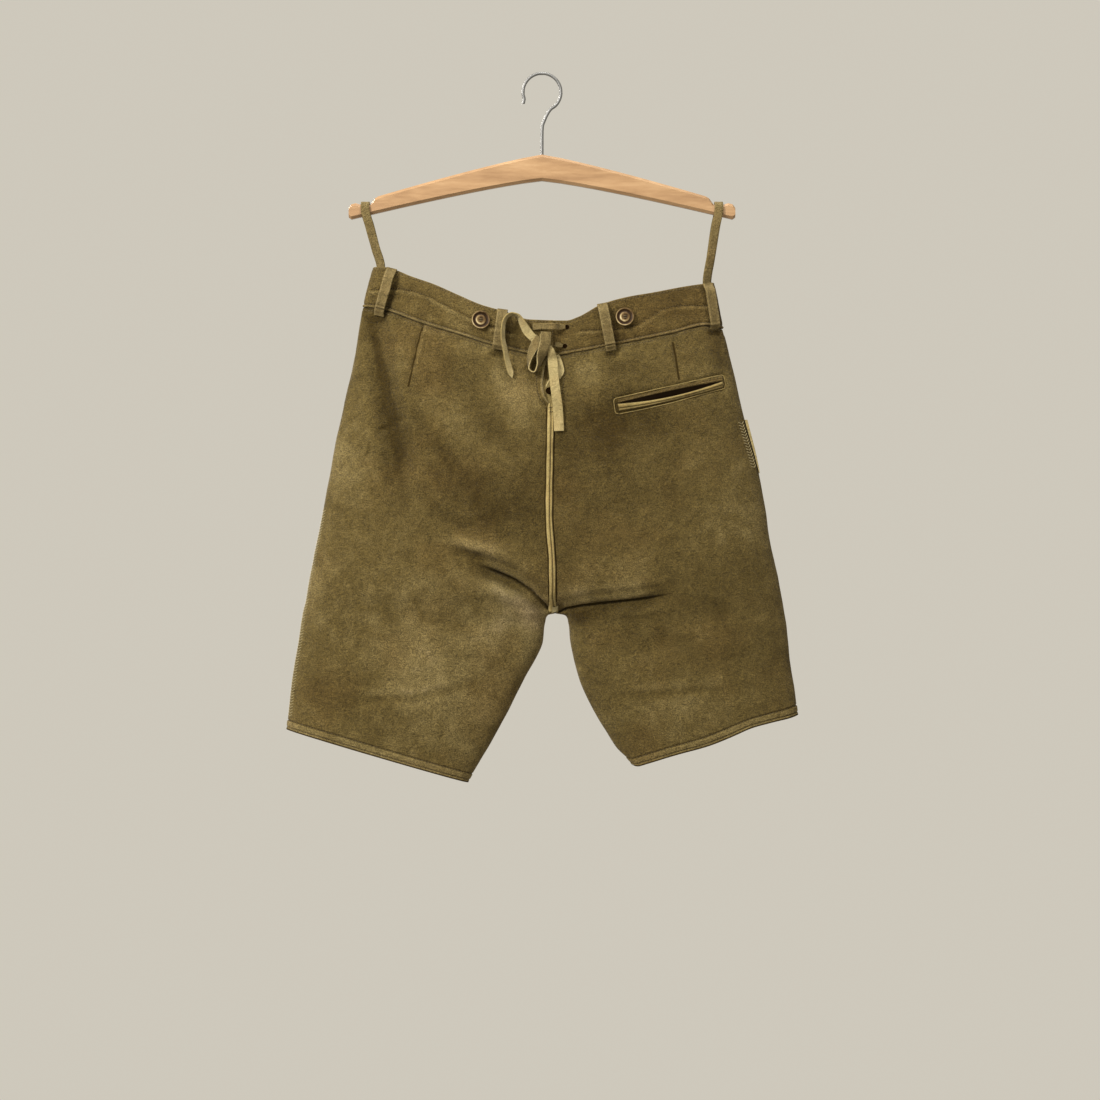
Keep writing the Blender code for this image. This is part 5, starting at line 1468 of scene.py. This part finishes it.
button_faces = {}
for name, (face, x, drop, radius, lift, (lean_x, lean_up)) in BUTTONS.items():
    point, out = touch(face, x, drop)
    out = unit(out + 2 * touch(face, x - 6, drop)[1] + 2 * touch(face, x + 6, drop)[1])
    foot = point + out * (0.45 + lift + 0.7 * radius * math.hypot(lean_x, lean_up))
    out = unit(out + np.array([lean_x, 0.0, lean_up]))
    points, faces = spun(foot, out, BUTTON_PROFILE, radius, BUTTON_SIDES)
    # One side of each button is painted paler, as a highlight.
    painted_highlight_side = 1 + 0.55 * np.cos(turns(BUTTON_SIDES) - 3.9)
    rings = [level * pale if level > 0 else level for *_, level in BUTTON_PROFILE[1:-1] for pale in painted_highlight_side]
    made = add_mesh(name + "_horn", points, faces, [HORN], worn=[0.0, *rings, 0.0])
    dress(turn_out(made), "horn", name)
    button_faces[name] = (foot + out * BUTTON_BOSS, out)
print("buttons:", len(button_faces))

# %% [markdown]
# ## Thread
#
# A stitch is a short thread that dives into the leather at both ends and presses a furrow. Painted
# dashes would stay flat when light comes from the side. Each stitch here is a small bent bar. A seam is
# one mesh with all its stitches, and a thin dark ribbon under them that paints the shade of the furrow.

# %% Stitches


def traced(face, places, step=2.0):
    """Even points of the leather, and the directions out of it, along places seen squarely."""
    places = np.array(places, float)
    run = run_of(places)
    even = np.linspace(0, run[-1], max(3, int(run[-1] / step)))
    return touch_all(face, at_distance(places, run, even))


STITCH_RINGS = [(0, 0.5, -0.35), (0.18, 0.95, 0.7), (0.5, 1, 1), (0.82, 0.95, 0.7), (1, 0.5, -0.35)]
STITCH_CORNERS = [0.3, 1.56, 2.82, 4.08, 5.34]


class Seam:
    """Gathers the stitches and furrows of one part of the garment."""

    def __init__(self, name, thread=SEWING_THREAD, pressed_and_shaded=GROOVE_SHADE):
        self.name, self.finishes = name, [thread, pressed_and_shaded]
        self.points, self.faces, self.slots = [], [], []

    def add(self, points, faces, slot):
        start = len(self.points)
        self.points += list(points)
        self.faces += [tuple(i + start for i in face) for face in faces]
        self.slots += [slot] * len(faces)

    def stitch(self, a, b, out, radius, proud=0.3):
        """One thread from a to b, half sunk at its ends."""
        run = unit(b - a)
        side = unit(np.cross(run, out))
        points = []
        for t, size, height in STITCH_RINGS:
            centre = a + (b - a) * t + out * proud * height
            points += [centre + (side * math.cos(turn) + out * math.sin(turn)) * radius * size
                       for turn in STITCH_CORNERS]
        self.add(points, tube_faces(len(STITCH_RINGS), len(STITCH_CORNERS)), 0)

    def furrow(self, points, outs, width, lift=0.07, slot=1):
        """A thin ribbon just above the leather, painted dark as the shade of a groove unless another slot is
        given.
        """
        points, outs = np.asarray(points), np.asarray(outs)
        sides = unit(np.cross(np.gradient(points, axis=0), outs))
        rows = []
        for s, h in ((-1, -0.25), (-0.6, 1), (0.6, 1), (1, -0.25)):
            rows.append(points + sides * (s * width / 2) + outs * (h * lift))
        grid = np.stack(rows, axis=1)
        self.add(grid.reshape(-1, 3), grid_faces(len(points), 4), slot)

    def line(self, points, outs, length=2.7, gap=0.9, radius=0.27, furrow=0.9, lift=0.07):
        """Stitches in a row along points of the surface."""
        points, outs = np.asarray(points, float), np.asarray(outs, float)
        run = run_of(points)
        if furrow:
            self.furrow(points, outs, furrow, lift)
        for start in np.arange(gap, run[-1] - length, length + gap):
            a, b = at_distance(points, run, start), at_distance(points, run, start + length)
            self.stitch(a, b, unit(at_distance(outs, run, start + length / 2)), radius)

    def row(self, cloth, row, inside, **options):
        """Stitches along one row of a cloth's grid."""
        self.line(cloth.grid[row, inside], cloth.out[row, inside], **options)

    def on(self, face, places, step=2.0, lift=0.0, **options):
        """Stitches along places seen squarely."""
        points, outs = traced(face, places, step)
        self.line(points + outs * lift, outs, **options)

    def sew(self, slot="leather"):
        made = add_mesh(self.name, self.points, self.faces, self.finishes, self.slots)
        dress(made, slot)
        print(self.name, len(self.faces), "faces")
        return made


# %% Seams of the band, the waist and the hems
waist, hems = Seam("waist_stitching"), Seam("hem_stitching")
inside = slice(3, -3)
for name, cloth in cloths.items():
    if "waistband" in name:
        waist.row(cloth, cloth.low_seam, inside, furrow=1.6)
        waist.row(cloth, cloth.top_seam, inside, furrow=1.2)
    else:
        waist.row(cloth, cloth.top_seam, inside, furrow=0.5)
        hems.row(cloth, cloth.low_seam, inside, furrow=1.4, lift=0.2)
        hems.row(cloth, cloth.hem_edge, inside, furrow=1.2, lift=0.2)
        # A dark ribbon painted as the shadow along the hem's lower edge.
        hems.furrow(cloth.grid[-2, inside], cloth.out[-2, inside], 1.2, 0.12)
for face, routes in MIDDLE_LINES.items():
    for route in routes:
        waist.on(face, route, length=1.8, gap=1.2, radius=0.2, furrow=1.3)
waist.sew()
hems.sew()

# %% Seams of the vent, the strip, the darts and the pocket
small = Seam("vent_and_pocket_stitching")
small.on(BACK, [(-5.4, 340), (-6.2, 352), (-5.2, 365), (-2.0, 375), (4.5, 381.5)], furrow=1.1, radius=0.24)
small.on(BACK, [(25, 333), (26, 350), (23, 366), (16, 379)], furrow=1.0, radius=0.24)
for drop in (384.5, 389.5):
    small.on(BACK, [(7.4, drop), (13.6, drop - 0.6)], step=0.8, lift=2.3, length=1.6, gap=0.5, furrow=0.8)
middle = [(strip_x(d), d) for d in np.linspace(384, 606, 60)]
points, outs = touch_all(BACK, middle)
small.line(points + outs * 1.2 + [0.8, 0, 0], outs, length=2.4, gap=1.0, radius=0.2, furrow=0.7)
# The strip's sides, the pocket's frame and the darts show only the dark ribbon of painted shade in their
# furrow. Their stitches are too short to be seen.
for side in (-1, 1):
    small.on(BACK, [(x + side * 4.5, d) for x, d in middle], length=0.1, gap=60.0, furrow=1.6)
small.on(BACK, POCKET_FRAME, step=1.5, length=0.1, gap=400.0, furrow=3.0)
DARTS = [
    [(-135.7, 289.5), (-141, 308), (-146.5, 333), (-152.4, 360)],
    [(149.5, 309), (153, 328), (156.2, 352)],
]
for route in DARTS:
    small.on(BACK, route, length=0.1, gap=80.0, furrow=2.2, lift=0.25)
for name, (line, sides, outs) in loop_lines.items():
    for side in (-1, 1):
        beside = line + sides * side * LOOP_SEWN + outs * 0.2
        small.line(beside[2:-2], outs[2:-2], length=1.8, gap=1.4, radius=0.16, furrow=0)
small.sew()

edging = Seam("pocket_edging", PIPING_LEATHER)
points, outs = traced(BACK, POCKET_FRAME, 1.5)
edging.furrow(points, outs, 1.3, 0.5, slot=0)
edging.sew()

TACK_TOP, TACK_PITCH, TACK_LEFT, TACK_RIGHT, TACK_SLANT = 610.6, 1.05, 10.2, 19.0, 2.0
tack = Seam("crotch_tack", EMBROIDERY_THREAD)
for k in range(6):
    for tilt in (-TACK_SLANT, TACK_SLANT):
        low = TACK_TOP + TACK_PITCH * k
        points, outs = touch_all(BACK, [(TACK_LEFT, low + tilt), (TACK_RIGHT, low - tilt)])
        tack.stitch(points[0] + outs[0] * 1.9, points[1] + outs[1] * 1.9, outs[0], 0.5, 0.5)
tack.sew()

# %% Seams of the flap, and the button threads
front, flap = Seam("flap_stitching"), laid_cloths["front_flap"]
for inset in (3, 9):
    lines = (inset // 2 + 1, -inset // 2 - 2)
    for k in lines:
        side = flap.grid[inset:-2, k]
        front.line(side, np.tile([0.0, 1.0, 0.0], (len(side), 1)), furrow=0.8)
    for k in lines:
        front.row(flap, k, slice(2, -2), furrow=0.8)
for name, (centre, out) in button_faces.items():
    right, up = axes_at(out)
    for side in (-1, 1):
        middle = centre + up * side * 1.1
        front.stitch(middle + right * 1.9, middle - right * 1.9, out, 0.42, 0.35)
front.sew()

# %% [markdown]
# ## Embroidery and eyelets
#
# Old trousers have a band of slanted stitches, like an ear of corn, down the side seams. The pale thread
# lies on the leather. The lace passes through sewn eyelets in the band.

# %% Ear-of-corn stitches down the sides


def off_side(cloth, row, distance):
    """A point of a panel at a distance from its side seam, on a row of its grid."""
    low, share = int(row), row - int(row)
    line = cloth.grid[low] * (1 - share) + cloth.grid[min(low + 1, len(cloth.grid) - 1)] * share
    run = run_of(line)
    return at_distance(line, run, distance), unit(at_distance(cloth.out[low], run, distance))


EAR_WIDTH = 9.0
corn = Seam("side_embroidery", EMBROIDERY_THREAD)
for name, first_drop, last_drop, near, pitch in (
    ("back_left", 500, 736, 3.0, 3.2), ("back_right", 398, 450, 9.5, 3.3),
    ("front_left", 500, 736, 3.0, 3.2), ("front_right", 470, 718, 3.0, 3.2),
):
    cloth = cloths[name]
    side_drops, middle = -cloth.grid[:, 0, 2], near + EAR_WIDTH / 2
    for drop in np.arange(first_drop, last_drop, pitch):
        high, low = np.interp([drop, drop + 0.8 * pitch], side_drops, np.arange(len(side_drops)))
        for outer in (near, near + EAR_WIDTH):
            a, out = off_side(cloth, high, outer)
            corn.stitch(a, off_side(cloth, low, middle)[0], out, 0.36, 0.35)
corn.sew()

# %% Eyelets
EYELETS = [(28.6, 291.6), (26.2, 313.6)]
EYELET_PROFILE = [(0.0, 0.0), (1.0, 0.0), (1.02, 0.16), (0.85, 0.2), (0.7, 0.1), (0.0, 0.06)]
holes = Seam("eyelets", pressed_and_shaded=HOLE_SHADE)
point, out = touch(BACK, 8.4, 365.0)             # the foot of the vent, where a disc of shadow is painted
holes.add(*spun(point + out * 0.3, out, [(0.0, 0.0), (1.0, 0.0), (0.8, 0.2), (0.0, 0.25)], 4.2, 20), 1)
for x, drop in EYELETS:
    point, out = touch(BACK, x, drop)
    # Each eyelet's hole is a dark disc of painted shade.
    holes.add(*spun(point + out * 0.25, out, EYELET_PROFILE, 2.5, 24), 1)
    right, up = axes_at(out)
    for turn in turns(14):
        ray = right * math.cos(turn) + up * math.sin(turn)
        holes.stitch(point + ray * 2.6, point + ray * 3.7, out, 0.14, 0.25)
holes.sew()

# %% A turn of the lace that shows in the vent, and painted shade in the gap beside it
stub = Seam("vent_lace_stub", PALE_LEATHER)
points, outs = touch_all(BACK, [(4.2, 336.0), (4.4, 344.0), (4.9, 352.0)])
# A dark ribbon painted as the shade in the vent's gap.
stub.furrow(points, outs, 3.0, 0.3)
points, outs = touch_all(BACK, [(10.2, 350.5), (4.8, 361.0)])
stub.stitch(points[0] + outs[0] * 0.7, points[1] + outs[1] * 0.4, outs[0], 1.3, 0.6)
stub.sew()

# %% [markdown]
# ## Hanger
#
# The beam is beech with a thin clear coat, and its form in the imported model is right, so it only gets
# rounded edges and a finish. Wood grain is noise stretched along the beam. The hook is drawn steel
# wire: a curve with a round section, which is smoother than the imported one.

# %% Wood
wood = Finish("beech", coat_weight=0.25, coat_roughness=0.3)
rings = wood.noise(42.0, 4.0, 0.55, stretch=(0.10, 1.0, 1.0), distortion=0.9)
flecks = wood.noise(420.0, 2.0, 0.6, stretch=(0.12, 1.0, 1.0))
figure = (rings * 0.75 + flecks * 0.35 - 0.05).limited()
colour = wood.ramp(figure, (0.28, (0.17, 0.090, 0.036)), (0.52, (0.255, 0.148, 0.066)),
                   (0.78, (0.34, 0.215, 0.108)))
BEECH = wood.wear(base_color=colour, roughness=0.42 + 0.12 * flecks, normal=wood.bump(figure, 0.0004, 0.4))
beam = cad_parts["hanger_body"]
beam.data.materials.clear()
beam.data.materials.append(BEECH)
rounding = beam.modifiers.new("rounding", "BEVEL")
rounding.width, rounding.segments, rounding.limit_method = 0.0011, 3, "ANGLE"
rounding.angle_limit = math.radians(28)

# %% Hook
steel = Finish("drawn steel", metallic=1.0)
drawn = steel.noise(240.0, 2.0, 0.5, stretch=(1.0, 1.0, 0.2))
STEEL = steel.wear(base_color=steel.mix(drawn, (0.13, 0.13, 0.128), (0.18, 0.18, 0.176)),
                   roughness=0.50 + 0.1 * drawn)
HOOK_RADIUS, HOOK_WIRE, BEAM_TOP = 20.0, 1.8, 92.0
HOOK_FROM, HOOK_TO = -62, 200            # degrees round the hook's middle
reach = HOOK_RADIUS + HOOK_WIRE
hook_line = [(0.0, 0.0, -BEAM_TOP + 0.35), (0.0, 0.0, -72.0), (0.4, 0.0, -60.0), (3.4, 0.0, -51.0)]
for angle in np.radians(np.linspace(HOOK_FROM, HOOK_TO, 19)):
    hook_line.append((reach * math.cos(angle), 0.0, reach * math.sin(angle) - HOOK_RADIUS))
hook_line.append((-reach * 0.99, 0.0, -HOOK_RADIUS - 13.0))
(hook_line,), length = resample([hook_line], 120)
curve = bpy.data.curves.new("hook_wire", "CURVE")
curve.dimensions, curve.bevel_depth, curve.bevel_resolution = "3D", HOOK_WIRE * MM, 5
curve.use_fill_caps = True
wire = curve.splines.new("POLY")
wire.points.add(len(hook_line) - 1)
for point, place in zip(wire.points, hook_line):
    point.co = (*(place * MM), 1.0)
curve.materials.append(STEEL)
hook = bpy.data.objects.new("hook_wire", curve)
bpy.context.scene.collection.objects.link(hook)
dress(hook, "steel", "hanger_hook")
print(f"hook wire {length:.0f} mm")

# %% [markdown]
# ## Light and floor
#
# The leather is shown in soft daylight from the upper left, as beside a window, with a weak fill from
# the right so that hollows stay readable. The floor is a pale disc far below the hem and stops short of
# the picture's lower edge. The surroundings are one pale grey.

# %% Surroundings
world = bpy.data.worlds.new("pale room")
world.use_nodes = True
world.node_tree.nodes["Background"].inputs["Color"].default_value = (0.617, 0.580, 0.500, 1.0)
world.node_tree.nodes["Background"].inputs["Strength"].default_value = 1.0
bpy.context.scene.world = world
bpy.context.scene.view_settings.view_transform = "Standard"


def lamp(name, place, aim, size, power, colour=(1.0, 0.97, 0.92)):
    light = bpy.data.lights.new(name, "AREA")
    light.shape, light.size, light.energy, light.color = "DISK", size, power, colour
    made = bpy.data.objects.new(name, light)
    made.location = place
    made.rotation_euler = (Vector(aim) - Vector(place)).to_track_quat("-Z", "Y").to_euler()
    bpy.context.scene.collection.objects.link(made)
    return made


lamp("window", (-1.9, -1.7, 0.9), (0, 0, -0.55), 0.8, 150.0)
lamp("fill", (2.0, -2.0, -0.2), (0, 0, -0.55), 1.6, 14.0)
lamp("ceiling", (0.1, -0.7, 1.4), (0, 0, -0.5), 1.0, 46.0)
lamp("front fill", (-1.2, 2.2, 0.8), (0, 0, -0.55), 1.2, 105.0)

FLOOR_RADIUS, FLOOR_DROP, FLOOR_SIDES = 1900, 1620.0, 96
FLOOR = plain("pale floor", (0.34, 0.325, 0.29), 0.9, 12.0, shades=(0.97, 1.03))
disc = [(FLOOR_RADIUS * math.cos(turn), FLOOR_RADIUS * math.sin(turn), -FLOOR_DROP)
        for turn in turns(FLOOR_SIDES)]
floor = add_mesh("floor", disc, [tuple(range(FLOOR_SIDES))], [FLOOR])
floor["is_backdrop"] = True

# %% Sizes and finish
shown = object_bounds()
grown = [round(1000 * (shown[1][k] - shown[0][k] - cad_box[1][k] + cad_box[0][k]), 1) for k in range(3)]
print("grown by, in mm:", grown)
